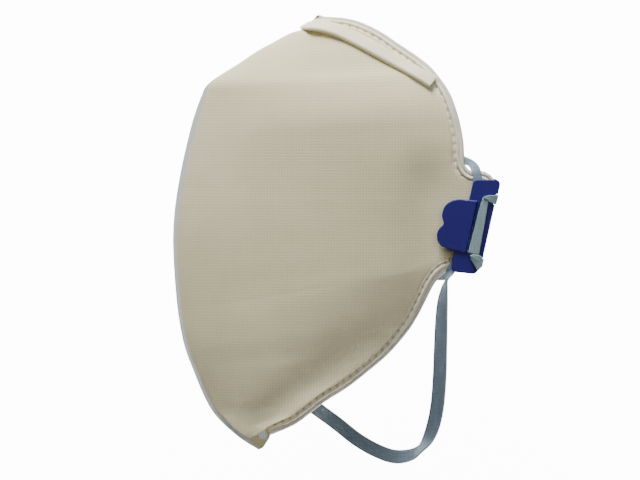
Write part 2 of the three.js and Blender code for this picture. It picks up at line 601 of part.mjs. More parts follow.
// Neck strap, from behind the near clip's lower tab, down in a hanging loop, into the hollow and up to the far clip.
// turn is how far its face is turned from the side view.
const NECK = table(['x', 'y', 'z', 'turn', 'width'], [
  [19.2, 51.4, -87.4, 0, 3.4],
  [19.2, 50.0, -90.2, 0, 3.4],
  [19.1, 48.6, -92.6, 0, 3.2],
  [18.9, 47.4, -95.2, 80, 3.4],
  [18.2, 46.4, -99.4, 62, 4.4],
  [16.6, 45.7, -104.5, 42, 4.9],
  [14.0, 45.3, -111.0, 27, 5.0],
  [9.5, 45.0, -121.0, 16, 5.1],
  [5.0, 44.7, -131.5, 8, 5.2],
  [2.0, 44.0, -141.5, 4, 5.2],
  [0.4, 42.7, -149.0, 10, 5.2],
  [-0.3, 40.7, -154.6, 35, 5.2],
  [-0.8, 37.8, -158.7, 64, 5.2],
  [-1.1, 33.8, -161.2, 38, 5.2],
  [-1.2, 28.2, -161.8, 10, 5.2],
  [-1.2, 22.0, -159.8, 0, 5.2],
  [-1.0, 14.5, -155.6, 0, 5.2],
  [-0.8, 7.0, -149.7, 0, 5.2],
  [-0.6, 0.5, -144.9, 0, 5.2],
  [-0.6, -5.5, -140.2, 15, 5.2],
  [-0.9, -10.6, -134.8, 40, 5.2],
  [-1.5, -13.2, -128.3, 60, 5.2],
  [-2.4, -12.2, -121.6, 60, 5.2],
  [-3.8, -7.4, -115.6, 40, 5.2],
  [-5.6, 0.8, -110.6, 15, 5.2],
  [-7.8, 11.0, -106.6, 0, 5.2],
  [-9.8, 23.0, -103.2, 0, 5.0],
  [-11.4, 33.5, -98.9, 0, 4.4],
  [-12.6, 39.0, -96.6, 0, 3.8],
  [-14.2, 43.6, -95.9, 0, 3.0],
  [-17.2, 47.2, -95.9, 0, 2.6],
  [-19.0, 48.8, -93.4, 0, 2.8],
  [-19.2, 50.0, -90.2, 0, 3.4],
  [-19.2, 51.4, -87.4, 0, 3.4],
]);

function alongTable(rows, steps, station) {
  const stations = [];
  for (let i = 0; i <= (rows.length - 1) * steps; i++) {
    const at = (name, shift = 0) => between(rows, name, THREE.MathUtils.clamp(i / steps + shift, 0, rows.length - 1));
    stations.push({ ...station(at), thick: ELASTIC.thick });
  }
  return stations;
}

function crownStrap() {
  const near = alongTable(CROWN, 2, (at) => ({
    at: new THREE.Vector3(at('x'), at('y'), at('z')),
    across: new THREE.Vector3(0, at('across_y'), at('across_z')),
    width: at('width'),
  }));
  const far = near.slice(0, -1).map((station) => ({
    ...station,
    at: new THREE.Vector3(-station.at.x, station.at.y, station.at.z),
  }));
  return flatBar([...near, ...far.reverse()]);
}

function neckStrap() {
  const stations = alongTable(NECK, 2, (at) => {
    const way = new THREE.Vector2(at('y', 0.1) - at('y', -0.1), at('z', 0.1) - at('z', -0.1)).normalize();
    const turn = THREE.MathUtils.degToRad(at('turn'));
    const out = new THREE.Vector3(0, -way.y, way.x).multiplyScalar(Math.cos(turn));
    return {
      at: new THREE.Vector3(at('x'), at('y'), at('z')),
      across: out.add(new THREE.Vector3(Math.sin(turn), 0, 0)),
      width: at('width'),
    };
  });
  return flatBar(stations);
}

add('filter_shell', filterShell(), 'sheet');
add('face_hem', faceHem(), 'sheet');
add('nose_strip', noseStrip(), 'strip');
const clip = strapClip();
const band = clipBand();
add('strap_clip_left', clip, 'plastic');
add('strap_clip_right', mirrored(clip), 'plastic');
add('clip_band_left', band, 'elastic');
add('clip_band_right', mirrored(band), 'elastic');
add('crown_strap', crownStrap(), 'elastic');
add('neck_strap', neckStrap(), 'elastic');

export default respirator;
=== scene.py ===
"""A fold-flat respirator: its looks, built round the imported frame.

Lengths are in millimetres until a mesh is made. Places in materials and of lamps are in metres."""
import math

import bpy
import numpy as np
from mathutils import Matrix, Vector
from mathutils.geometry import tessellate_polygon


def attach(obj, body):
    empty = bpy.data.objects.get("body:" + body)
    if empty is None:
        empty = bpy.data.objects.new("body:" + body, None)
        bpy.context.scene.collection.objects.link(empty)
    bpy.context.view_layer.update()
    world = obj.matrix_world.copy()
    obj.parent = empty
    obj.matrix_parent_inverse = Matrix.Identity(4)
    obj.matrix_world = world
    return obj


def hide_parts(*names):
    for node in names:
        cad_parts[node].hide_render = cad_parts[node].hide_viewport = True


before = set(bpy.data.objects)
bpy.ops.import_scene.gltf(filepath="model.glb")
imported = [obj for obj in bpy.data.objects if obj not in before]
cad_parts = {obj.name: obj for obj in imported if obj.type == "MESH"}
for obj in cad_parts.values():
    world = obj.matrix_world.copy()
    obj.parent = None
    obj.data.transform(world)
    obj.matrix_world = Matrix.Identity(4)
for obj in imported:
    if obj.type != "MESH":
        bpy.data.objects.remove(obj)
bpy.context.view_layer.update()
MM = 0.001
FLIP = np.array([-1, 1, 1])

# Driving sizes
WALL = 1.5
HEM_WIDTH = 3.2
HEM_SEAM = 0.45
WELD_HALF = 0.6
KNEE = 0.86
PRESSED = {"y": (26, 44), "top": (42, 68), "foot": (88, 110)}
STRIP = {"width": 5.0, "thick": 1.2}
ELASTIC_THICK = 0.8


def table(names, rows):
    """A table's columns as arrays, by name."""
    return {name: np.array([row[i] for row in rows]) for i, name in enumerate(names)}


def curve(column, place):
    """A column between its rows: a Catmull-Rom curve, with the end rows repeated."""
    place = np.asarray(place, float)
    last = len(column) - 1
    start = np.clip(np.floor(place).astype(int), 0, last - 1)
    u = place - start
    a, b, c, d = (column[np.clip(start + k, 0, last)] for k in (-1, 0, 1, 2))
    return 0.5 * (2 * b + (c - a) * u + (2 * a - 5 * b + 4 * c - d) * u**2 + (3 * b - a - 3 * c + d) * u**3)


def unit(vectors):
    """Vectors of length one along the last axis."""
    return vectors / np.maximum(np.linalg.norm(vectors, axis=-1, keepdims=True), 1e-9)


def smooth(low, high, value):
    """0 below low and 1 above high, with a smooth step between."""
    t = np.clip((value - low) / (high - low), 0, 1)
    return t * t * (3 - 2 * t)


def lengths_along(path):
    """The length of a path up to each of its points."""
    return np.concatenate([[0], np.cumsum(np.linalg.norm(np.diff(path, axis=0), axis=1))])


# Camera, at the photograph's angle
VIEW = {"azimuth": 1.5, "elevation": 1.5, "distance": 1500.0, "lens": 229.5}
TARGET = np.array([0.0, 0.7, -82.0])


def add_camera():
    """Looks at the target from the near side, nearly level with it."""
    azimuth, elevation = math.radians(VIEW["azimuth"]), math.radians(VIEW["elevation"])
    back = np.array([
        math.cos(elevation) * math.cos(azimuth),
        math.cos(elevation) * math.sin(azimuth),
        math.sin(elevation),
    ])
    data = bpy.data.cameras.new("camera")
    data.lens = VIEW["lens"]
    data.clip_end = 20.0
    camera = bpy.data.objects.new("camera", data)
    camera.location = (TARGET + VIEW["distance"] * back) * MM
    camera.rotation_euler = Vector(back).to_track_quat("Z", "Y").to_euler()
    bpy.context.scene.collection.objects.link(camera)
    bpy.context.scene.camera = camera


# Meshes from grids


def grid_faces(rows, columns, wrap=False):
    """Quads between the points of a grid, row by row. wrap joins the last column to the first."""
    i = np.arange(rows - 1)[:, None] * columns
    k = np.arange(columns if wrap else columns - 1)[None, :]
    m = (k + 1) % columns
    return np.stack([i + k, i + m, i + columns + m, i + columns + k], axis=-1).reshape(-1, 4)


def make_mesh(name, points, faces, material, uv=None, values=None):
    """An object from points in millimetres and lists of corners, with a UV and values for each point."""
    mesh = bpy.data.meshes.new(name)
    mesh.from_pydata((np.asarray(points) * MM).tolist(), [], [list(map(int, face)) for face in faces])
    corners = np.zeros(len(mesh.loops), np.int32)
    mesh.loops.foreach_get("vertex_index", corners)
    if uv is not None:
        layer = mesh.uv_layers.new(name="UVMap")
        layer.data.foreach_set("uv", np.asarray(uv, np.float32)[corners].ravel())
    for key, column in (values or {}).items():
        attribute = mesh.attributes.new(key, "FLOAT", "POINT")
        attribute.data.foreach_set("value", np.asarray(column, np.float32).ravel())
    mesh.polygons.foreach_set("use_smooth", np.ones(len(mesh.polygons), bool))
    mesh.validate()
    mesh.update()
    mesh.materials.append(material)
    piece = bpy.data.objects.new(name, mesh)
    bpy.context.scene.collection.objects.link(piece)
    return piece


def bar_along(centre, side, width, cut, thin=1.0):
    """A closed bar's rings and faces. centre is its path, side the way across at each point and width the
    full width there. cut holds the ring's points as (a share of half the width, a height in millimetres).
    thin scales the heights, for the whole bar or for each point of the path."""
    along = unit(np.gradient(centre, axis=0))
    side = unit(side - along * np.sum(side * along, axis=1, keepdims=True))
    out = np.cross(along, side)
    across = cut[None, :, 0] * width[:, None] / 2
    height = cut[None, :, 1] * np.broadcast_to(thin, len(centre))[:, None]
    rings = centre[:, None] + side[:, None] * across[..., None] + out[:, None] * height[..., None]
    rows, columns = rings.shape[:2]
    faces = grid_faces(rows, columns, wrap=True)[:, ::-1].tolist()
    faces += [list(range(columns)), list(range((rows - 1) * columns, rows * columns))[::-1]]
    return rings, faces


def ribbon(name, centre, side, width, cut, material, thin=1.0):
    """A closed bar as an object, with a UV map of its length and the distance across it in millimetres."""
    rings, faces = bar_along(centre, side, width, cut, thin)
    across = cut[None, :, 0] * width[:, None] / 2
    uv = np.stack(np.broadcast_arrays(lengths_along(centre)[:, None], across), axis=-1).reshape(-1, 2)
    return make_mesh(name, rings.reshape(-1, 3), faces, material, uv)


# The sheet's form: the same rows as the solid's, read at as many places as the surface needs

# The front edge in the middle plane: the nose ridge, then the weld, then the chin
FRONT_EDGE = table(
    ["y", "z"],
    [
        (0.6, -1.5), (-6.2, -4.7), (-10.5, -6.1), (-16.3, -9.2), (-22.6, -12.7), (-29.2, -17.1),
        (-40.0, -24.2), (-43.1, -29.4), (-46.4, -39.0), (-49.7, -52.6), (-52.1, -65.5), (-53.3, -76.9),
        (-53.3, -87.9), (-52.0, -105.6), (-49.8, -118.9), (-46.5, -128.8), (-39.5, -144.3), (-30.2, -153.9),
        (-21.3, -159.7),
    ],
)

# Sections of one half, from the nose down to the chin. Each starts at a share of the front edge and ends at
# the outer edge of the hem. half_open is the hem's distance from the middle plane. belly is how far the sheet
# swells between its ends, bend is how quickly it leaves the front edge and crease is how sharply it is
# folded there. flange is the width of the weld, and lean is how far the hem tilts towards the middle plane,
# as a slope.
SECTIONS = table(
    ["name", "front", "hem_y", "hem_z", "half_open", "belly", "bend", "crease", "flange", "lean"],
    [
        ("ridge end", 0.016, 2.2, -0.3, 3.2, 0.0, 2.0, 0.56, 0.5, 0.60),
        ("nose", 0.034, 7.5, -0.4, 4.4, 0.2, 2.0, 0.58, 0.5, 0.60),
        ("nose", 0.065, 13.1, -1.4, 5.6, 0.5, 2.0, 0.62, 0.5, 0.55),
        ("nose", 0.100, 18.1, -3.2, 6.8, 0.9, 2.0, 0.65, 0.5, 0.50),
        ("nose", 0.135, 23.7, -6.1, 8.2, 1.4, 2.0, 0.68, 0.5, 0.45),
        ("nose", 0.170, 28.6, -9.4, 9.6, 2.1, 2.0, 0.70, 0.5, 0.40),
        ("strip end", 0.225, 37.3, -15.3, 11.8, 3.2, 2.0, 0.76, 0.7, 0.34),
        ("cheek", 0.260, 42.5, -19.9, 13.9, 4.2, 2.0, 0.86, 1.4, 0.28),
        ("cheek", 0.300, 47.9, -27.3, 15.8, 4.9, 2.1, 0.95, 1.9, 0.20),
        ("cheek", 0.335, 50.7, -34.2, 16.9, 5.1, 2.2, 1.00, 2.0, 0.12),
        ("cheek", 0.365, 52.4, -40.6, 17.4, 5.0, 2.2, 1.00, 2.0, 0.08),
        ("cheek", 0.395, 53.3, -46.2, 17.8, 4.8, 2.2, 1.00, 2.0, 0.04),
        ("upper neck", 0.420, 53.6, -51.7, 18.0, 4.65, 2.2, 1.00, 1.9, 0.00),
        ("upper neck", 0.437, 54.1, -54.6, 18.0, 4.6, 2.2, 1.00, 1.8, 0.00),
        ("tab top", 0.450, 56.2, -56.6, 18.0, 4.55, 2.2, 1.00, 1.8, 0.00),
        ("tab top", 0.460, 58.9, -56.7, 18.0, 4.5, 2.2, 1.00, 1.7, 0.00),
        ("tab top", 0.468, 61.7, -57.0, 18.0, 4.5, 2.2, 1.00, 1.7, 0.00),
        ("tab corner", 0.478, 63.8, -58.7, 18.0, 4.45, 2.2, 1.00, 1.6, 0.00),
        ("tab back", 0.490, 64.5, -61.8, 18.0, 4.4, 2.2, 1.00, 1.6, 0.00),
        ("tab back", 0.520, 62.8, -69.5, 18.0, 4.35, 2.2, 1.00, 1.5, 0.00),
        ("tab back", 0.560, 60.6, -78.5, 18.0, 4.3, 2.2, 1.00, 1.4, 0.00),
        ("tab back", 0.600, 58.6, -87.0, 18.0, 4.3, 2.2, 1.00, 1.3, 0.00),
        ("tab corner", 0.620, 57.6, -90.8, 18.0, 4.3, 2.2, 1.00, 1.3, 0.00),
        ("tab foot", 0.635, 55.1, -93.0, 18.0, 4.3, 2.2, 1.00, 1.3, 0.00),
        ("tab foot", 0.650, 51.4, -93.3, 18.0, 4.3, 2.2, 1.00, 1.3, 0.00),
        ("lower neck", 0.665, 47.9, -93.0, 17.98, 4.35, 2.2, 1.00, 1.3, 0.05),
        ("lower neck", 0.680, 45.3, -94.4, 17.85, 4.45, 2.2, 1.00, 1.3, 0.10),
        ("jaw", 0.700, 42.6, -97.8, 17.5, 4.5, 2.2, 1.00, 1.3, 0.16),
        ("jaw", 0.720, 39.5, -103.8, 16.8, 4.65, 2.2, 1.00, 1.3, 0.22),
        ("jaw", 0.740, 37.0, -108.7, 16.1, 4.85, 2.2, 1.00, 1.3, 0.27),
        ("jaw", 0.760, 33.5, -114.4, 15.1, 5.1, 2.2, 1.00, 1.3, 0.30),
        ("jaw", 0.787, 27.3, -121.9, 13.3, 5.6, 2.1, 1.00, 1.3, 0.34),
        ("jaw", 0.810, 22.0, -126.9, 11.8, 6.0, 2.1, 1.00, 1.4, 0.36),
        ("chin", 0.850, 11.4, -135.5, 8.9, 6.3, 2.0, 1.00, 1.5, 0.36),
        ("chin", 0.885, 2.4, -141.4, 6.6, 5.8, 2.0, 1.00, 1.6, 0.34),
        ("chin", 0.925, -6.5, -148.5, 4.3, 3.8, 1.9, 1.00, 1.8, 0.28),
        ("chin", 0.945, -11.0, -151.1, 3.2, 2.2, 1.8, 1.00, 2.0, 0.20),
        ("hem end", 0.965, -16.0, -153.2, 2.5, 0.8, 1.6, 1.00, 2.2, 0.00),
    ],
)

# The chin tab under the hem's end, where the two halves are welded flat
CHIN_TAB = table(
    ["front", "back_y", "back_z"],
    [(0.977, -17.7, -154.3), (0.988, -18.9, -156.5), (0.996, -20.3, -158.6)],
)

LAST = len(SECTIONS["front"]) - 1
TAB_FIRST = list(SECTIONS["name"]).index("upper neck")
TAB_LAST = LAST - list(SECTIONS["name"][::-1]).index("lower neck")
TAB_ROOT = {"top": np.array([46.5, -58.5]), "foot": np.array([42.5, -88.0])}
RIDGE_WAY = np.array([-0.86, -0.51])
RIDGE_TURN = 0.6  # how far the way into the sheet turns to the ridge's own, at the first section
TAB_RISE = 4  # the tab stands out in full after one part in so many of its rows

edge_place = np.linspace(0, len(FRONT_EDGE["y"]) - 1, 257)
edge_line = np.stack([curve(FRONT_EDGE["y"], edge_place), curve(FRONT_EDGE["z"], edge_place)], axis=-1)
edge_length = lengths_along(edge_line)


def front_point(share):
    """The point of the side view at a share of the front edge's length."""
    target = np.asarray(share) * edge_length[-1]
    return np.stack([np.interp(target, edge_length, edge_line[:, k]) for k in range(2)], axis=-1)


def hem_point(place):
    """The hem's outer edge in the side view."""
    return np.stack([curve(SECTIONS["hem_y"], place), curve(SECTIONS["hem_z"], place)], axis=-1)


def into_sheet(place):
    """The way from the hem's outer edge into the sheet, in the side view."""
    step = 0.25
    along = unit(hem_point(np.minimum(place + step, LAST)) - hem_point(np.maximum(place - step, 0)))
    into = np.stack([along[..., 1], -along[..., 0]], axis=-1)
    turn = RIDGE_TURN * np.clip(1 - place, 0, 1)[..., None]
    return unit(into * (1 - turn) + RIDGE_WAY * turn)


def rim_point(place):
    """The sheet's rim, inside the hem, in the side view."""
    lean = np.arcsin(curve(SECTIONS["lean"], place))
    return hem_point(place) + into_sheet(place) * ((HEM_WIDTH + HEM_SEAM) * np.cos(lean))[..., None]


def tab_share(place):
    """0 where the ear tab starts and 1 where it ends."""
    return np.clip((place - TAB_FIRST) / (TAB_LAST - TAB_FIRST), 0, 1)


def tab_weight(place):
    """1 where the ear tab stands out, 0 away from it."""
    return np.minimum(1, np.minimum(TAB_RISE * tab_share(place), TAB_RISE * (1 - tab_share(place))))


def pressed(y, below):
    """How flat the sheet is pressed under the clip, at a place of the side view so far below the ridge."""
    return smooth(*PRESSED["y"], y) * smooth(*PRESSED["top"], below) * (1 - smooth(*PRESSED["foot"], below))


def reach_of(place):
    """The distance over which a row swells: to the rim, or across the tab's root as if there were no tab."""
    at = np.append(place, [TAB_FIRST, TAB_LAST])
    straight = np.linalg.norm(rim_point(at) - front_point(curve(SECTIONS["front"], at)), axis=1)
    across = straight[-2] + (straight[-1] - straight[-2]) * tab_share(place)
    return np.where((place > TAB_FIRST) & (place < TAB_LAST), across, straight[:-2])


def row_length(place):
    """The millimetres that one share stands for, before the knee, with the ends and the knee of each row."""
    front, rim = front_point(curve(SECTIONS["front"], place)), rim_point(place)
    root = TAB_ROOT["top"] + (TAB_ROOT["foot"] - TAB_ROOT["top"]) * tab_share(place)[:, None]
    weight = tab_weight(place)[:, None]
    knee = (front + (rim - front) * KNEE) * (1 - weight) + root * weight
    return np.linalg.norm(knee - front, axis=1) / KNEE, front, knee, rim


def sheet_points(place, share):
    """The near outer face. place is a column of rows, share a table of shares from the front edge to the rim.
    The side view's point is on the line front - knee - rim. It stands off the middle plane by
    x = weld + (open - weld) (1 - (1 - s)^bend)^crease + belly 4 s (1 - s), with s the share of the free
    part. Under the clip it is pressed out to the hem's distance."""
    length, front, knee, rim = row_length(place)
    length = length[:, None]
    first = np.clip(share / KNEE, 0, 1)[..., None]
    second = np.clip((share - KNEE) / (1 - KNEE), 0, 1)[..., None]
    flat = front[:, None] + (knee - front)[:, None] * first + (rim - knee)[:, None] * second
    used = ("half_open", "belly", "bend", "crease", "flange")
    col = {name: curve(SECTIONS[name], place)[:, None] for name in used}
    distance = share * length
    reach = reach_of(place)[:, None]
    gone = np.minimum(distance, length * KNEE)
    gone = gone + (reach - gone) * second[..., 0]
    swell = np.clip((gone - col["flange"]) / (reach - col["flange"]), 0, 1)
    rise = (1 - (1 - swell) ** col["bend"]) ** col["crease"]
    x = WELD_HALF + (col["half_open"] - WELD_HALF) * rise + col["belly"] * 4 * swell * (1 - swell)
    x = x + (col["half_open"] - x) * pressed(flat[..., 0], -flat[..., 1])
    edge = np.clip(distance / edge_round(col["flange"]), 0, 1)
    x = np.where(distance < col["flange"], WELD_HALF * np.sqrt(1 - (1 - edge) ** 2), x)
    return np.concatenate([x[..., None], flat], axis=-1), distance, length


ROWS_PER_SECTION = 6
COLUMNS = 72
EDGE_SHARES = np.array([0, 0.04, 0.15, 0.4, 1.0])  # columns over the rounded edge
OUTER_SPACING = 1.2  # above 1, columns lie closer near the weld
INNER_SPACING = 1.1
INNER_CLEAR = 0.02  # between the inner faces of the two halves and the middle plane
INNER_START = 1  # the inner face starts at least so far behind the front edge
TAB_FLANGE = 0.4  # of the chin tab's width
# The weld's colour, which these fade out, is partly its own paler cloth and partly a painted bluish-white
# sheen.
WELD_FADE = (0.9, 1.25)  # of the flange's width: where the weld's colour ends
TAB_WELD = (0.9, 1.4)  # from the chin tab's front edge: where the weld's colour ends there


def edge_round(flange):
    """How far in the folded edge is rounded."""
    return np.minimum(0.5, 0.6 * flange)


def outer_shares(flange, length):
    """Shares of a row from the front edge: a few round the edge, one on the weld, then the free part."""
    free = np.linspace(0, 1, COLUMNS - len(EDGE_SHARES) - 1) ** OUTER_SPACING
    start = (flange / length)[:, None]
    head = EDGE_SHARES * (edge_round(flange) / length)[:, None]
    head = np.concatenate([head, (head[:, -1:] + start) / 2], axis=1)
    return np.concatenate([head, start + (1 - start) * free], axis=1)


def normals_of(points):
    """Unit normals of a grid of points, out of the near face."""
    down = np.gradient(points, axis=0)
    across = np.gradient(points, axis=1)
    return unit(np.cross(down, across))


def weave(index, flip=False):
    """Quads between the numbers of a two-dimensional array of points."""
    quads = np.stack([index[:-1, :-1], index[:-1, 1:], index[1:, 1:], index[1:, :-1]], axis=-1).reshape(-1, 4)
    return (quads[:, ::-1] if flip else quads).tolist()


def filter_shell(material):
    """Both halves, folded along the front edge. The inner face is the outer one moved by the wall along its
    normal, kept on its side of the middle plane, and read again from where it leaves that plane up to the
    rim. Also gives the near outer face."""
    place = np.linspace(0, LAST, LAST * ROWS_PER_SECTION + 1)
    length, *_ = row_length(place)
    share = outer_shares(curve(SECTIONS["flange"], place), length)
    outer, distance, _ = sheet_points(place, share)

    moved = outer - WALL * normals_of(outer)
    inner = np.empty_like(outer)
    for i, row in enumerate(moved):
        inside = np.nonzero((row[:, 0] > INNER_CLEAR) & (share[i] * length[i] > INNER_START))[0]
        first = inside[0] if len(inside) else len(row) - 2
        at = first + (len(row) - 1 - first) * np.linspace(0, 1, row.shape[0]) ** INNER_SPACING
        inner[i] = np.stack([np.interp(at, np.arange(len(row)), row[:, k]) for k in range(3)], axis=-1)
    inner[:, 1:, 0] = np.maximum(inner[:, 1:, 0], INNER_CLEAR)
    inner[:, 0, 0] = 0

    # The chin tab carries the outer face on, flat
    last = len(CHIN_TAB["front"])
    steps = np.linspace(0, last, last * ROWS_PER_SECTION + 1)[1:]
    joins = (curve(SECTIONS["front"], LAST), *rim_point(np.float64(LAST)))
    front, back_y, back_z = (
        curve(np.concatenate([[join], CHIN_TAB[name]]), steps)
        for name, join in zip(("front", "back_y", "back_z"), joins)
    )
    tab_front = front_point(front)
    tab_back = np.stack([back_y, back_z], axis=-1)
    tab_length = np.linalg.norm(tab_back - tab_front, axis=1)
    tab_flange = TAB_FLANGE * tab_length
    tab_shares = outer_shares(tab_flange, tab_length)
    flat = tab_front[:, None] + (tab_back - tab_front)[:, None] * tab_shares[..., None]
    edge = np.clip(tab_shares * tab_length[:, None] / edge_round(tab_flange)[:, None], 0, 1)
    tab_x = WELD_HALF * np.sqrt(1 - (1 - edge) ** 2)
    tab = np.concatenate([tab_x[..., None], flat], axis=-1)

    near_outer = np.concatenate([outer, tab])
    rows, columns = near_outer.shape[:2]
    parts = (near_outer, near_outer * FLIP, inner, inner * FLIP)
    points = np.concatenate([part.reshape(-1, 3) for part in parts])
    outer_count, inner_count = rows * columns, inner.shape[0] * columns
    near_out = np.arange(outer_count).reshape(rows, columns)
    far_out = near_out + outer_count
    far_out[:, 0] = near_out[:, 0]
    near_in = np.arange(inner_count).reshape(-1, columns) + 2 * outer_count
    far_in = near_in + inner_count
    far_in[:, 0] = near_in[:, 0]
    end = inner.shape[0] - 1
    faces = weave(near_out, True) + weave(far_out) + weave(near_in) + weave(far_in, True)
    joined_lines = (
        (near_out[: end + 1, -1], near_in[:, -1]),
        (far_out[: end + 1, -1], far_in[:, -1]),
        (near_out[0], near_in[0]),
        (far_out[0], far_in[0]),
        (near_in[end], far_in[end]),
        (near_out[-1], far_out[-1]),
        (near_out[end + 1 :, -1], far_out[end + 1 :, -1]),
    )
    for lines in joined_lines:
        faces += weave(np.stack(lines))
    faces.append([
        far_out[end, -1], far_in[end, -1], near_in[end, -1], near_out[end, -1], near_out[end + 1, -1],
        far_out[end + 1, -1],
    ])

    # The weld's mask: where its paler colour and its painted sheen go.
    weld = 1 - smooth(*WELD_FADE, distance / curve(SECTIONS["flange"], place)[:, None])
    tab_weld = 1 - smooth(*TAB_WELD, tab_shares * tab_length[:, None])
    welds = np.concatenate([weld.ravel(), tab_weld.ravel()])
    welds = np.concatenate([welds, welds, np.zeros(2 * inner_count)])
    used = sorted({k for face in faces for k in face})
    number = {k: i for i, k in enumerate(used)}
    whole = []
    for face in faces:
        corners = list(dict.fromkeys(number[k] for k in face))
        if len(corners) > 2:
            whole.append(corners)
    return make_mesh("filter_shell_sheet", points[used], whole, material, values={"weld": welds[used]}), outer


# Hem: its cut, from the free edge (a = 0) into the sheet, and out from the middle of the wall (b)
HEM_CUT = table(
    ["a", "b"],
    [
        (0.0, 0.0), (0.1, 0.42), (0.35, 0.72), (0.8, 0.88), (1.2, 0.8), (1.42, 0.55), (1.58, 0.5),
        (1.8, 0.75), (2.05, 1.05), (2.4, 1.2), (2.75, 1.08), (3.0, 0.82), (3.15, 0.62), (3.3, 0.55),
        (3.45, 0.62), (3.65, 0.78), (3.95, 0.84), (4.25, 0.78), (4.45, 0.6), (4.45, -0.7), (3.9, -0.8),
        (3.2, -0.85), (1.6, -0.95), (0.6, -0.85), (0.15, -0.5),
    ],
)
HEM_STEP = 0.36
HEM_SOFT = 5
HEM_DOT = {"at": 3.3, "pitch": 3.1, "radius": 0.55, "depth": 0.3}
HEM_FLAT = {"height": 0.62, "from": 2.0, "to": 9.0, "above": 0.4}
HEM_RIDGE = table(["share", "rise"], [(0.6, 0.45), (0.25, 0.75)])
HEM_POINTS = 10  # for each section
HEM_OVER = 12  # the last points of a side, which give way to the curve over the ridge
HEM_CURVE = 12  # steps of that curve between two of its knots
CHIN_REACH = 1.7  # how far the hem's ends go on towards the chin tab
CHIN_WAY = 5  # points over which the way there is read


def along_curve(points, per_span):
    """Points of a Catmull-Rom curve through a list of points."""
    place = np.linspace(0, len(points) - 1, (len(points) - 1) * per_span + 1)
    return np.stack([curve(points[:, k], place) for k in range(points.shape[1])], axis=-1)


def even(path, step, *carried):
    """A path read again at even steps of its length, with what is carried along it."""
    length = lengths_along(path)
    at = np.linspace(0, length[-1], int(round(length[-1] / step)) + 1)
    read = [np.stack([np.interp(at, length, column[:, k]) for k in range(column.shape[1])], axis=-1)
            for column in (path, *carried)]
    return at, *read


def softened(rows, count):
    """Rows averaged with their neighbours, count on each side, with a falling weight."""
    weight = np.cos(np.linspace(-1, 1, 2 * count + 3)[1:-1] * math.pi / 2) ** 2
    weight = weight / weight.sum()
    padded = np.concatenate([np.repeat(rows[:1], count, axis=0), rows, np.repeat(rows[-1:], count, axis=0)])
    return np.stack([np.convolve(padded[:, k], weight, "valid") for k in range(rows.shape[1])], axis=-1)


def face_hem(material):
    """A band along the rim: its cut is set square to the path, a along the way in and b along the way out."""
    place = np.linspace(LAST, 0, LAST * HEM_POINTS)
    lean = np.arcsin(curve(SECTIONS["lean"], place))
    off = curve(SECTIONS["half_open"], place) - WALL / 2
    rim = np.concatenate([off[:, None], rim_point(place)], axis=1)
    into = np.concatenate([np.sin(lean)[:, None], into_sheet(place) * np.cos(lean)[:, None]], axis=1)
    end_way = unit(rim[0] - rim[CHIN_WAY])
    rim = np.concatenate([(rim[0] + CHIN_REACH * end_way)[None], rim])
    into = np.concatenate([into[:1], into])
    first, _, _ = sheet_points(np.zeros(1), np.array([[*HEM_RIDGE["share"], 0.0]]))
    low, high = HEM_RIDGE["rise"]
    ridge = first[0] + np.array([[-WALL / 2, 0, low], [-WALL / 2, 0, high], [0, 0, high]])
    way = np.array([0, *RIDGE_WAY])
    turned = [into[-1] * share + way * (1 - share) for share in (*HEM_RIDGE["share"], 0)]
    rim_ends, into_ends = rim[-HEM_OVER::HEM_POINTS], into[-HEM_OVER::HEM_POINTS]
    knots = np.concatenate([rim_ends, ridge, ridge[1::-1] * FLIP, rim_ends[::-1] * FLIP])
    ways = np.concatenate([into_ends, turned, np.array(turned[1::-1]) * FLIP, into_ends[::-1] * FLIP])
    top, top_way = along_curve(knots, HEM_CURVE), along_curve(ways, HEM_CURVE)
    path = np.concatenate([rim[:-HEM_OVER], top, rim[:-HEM_OVER][::-1] * FLIP])
    into = np.concatenate([into[:-HEM_OVER], top_way, into[:-HEM_OVER][::-1] * FLIP])
    length, path, into = even(path, HEM_STEP, into)
    into = unit(softened(into, HEM_SOFT))
    along = unit(np.gradient(path, axis=0))
    way = unit(into - along * np.sum(into * along, axis=1, keepdims=True))
    out = unit(np.cross(along, way))

    a, b = HEM_CUT["a"], HEM_CUT["b"]
    offset = (length / HEM_DOT["pitch"] + 0.5) % 1 - 0.5
    off_dot = (offset[:, None] * HEM_DOT["pitch"]) ** 2 + (a - HEM_DOT["at"]) ** 2
    dot = np.exp(-off_dot / HEM_DOT["radius"] ** 2) * (b > 0)
    away = np.abs(length - length[-1] / 2)[:, None]
    flat = (1 - smooth(HEM_FLAT["from"], HEM_FLAT["to"], away)) * (b > HEM_FLAT["above"])
    height = b + (HEM_FLAT["height"] - b) * flat - HEM_DOT["depth"] * dot * (1 - flat)
    deep = (a - HEM_WIDTH - HEM_SEAM)[:, None]
    rings = path[:, None] + way[:, None] * deep + out[:, None] * height[..., None]
    rows, columns = rings.shape[:2]
    faces = grid_faces(rows, columns, wrap=True).tolist()
    faces += [list(range(columns)), list(range((rows - 1) * columns, rows * columns))]
    uv = np.stack(np.broadcast_arrays(length[:, None], a), axis=-1).reshape(-1, 2)
    values = {"dot": (dot * (1 - flat)).ravel(), "across": np.broadcast_to(a, (rows, columns)).ravel()}
    return make_mesh("face_hem_band", rings.reshape(-1, 3), faces, material, uv, values)


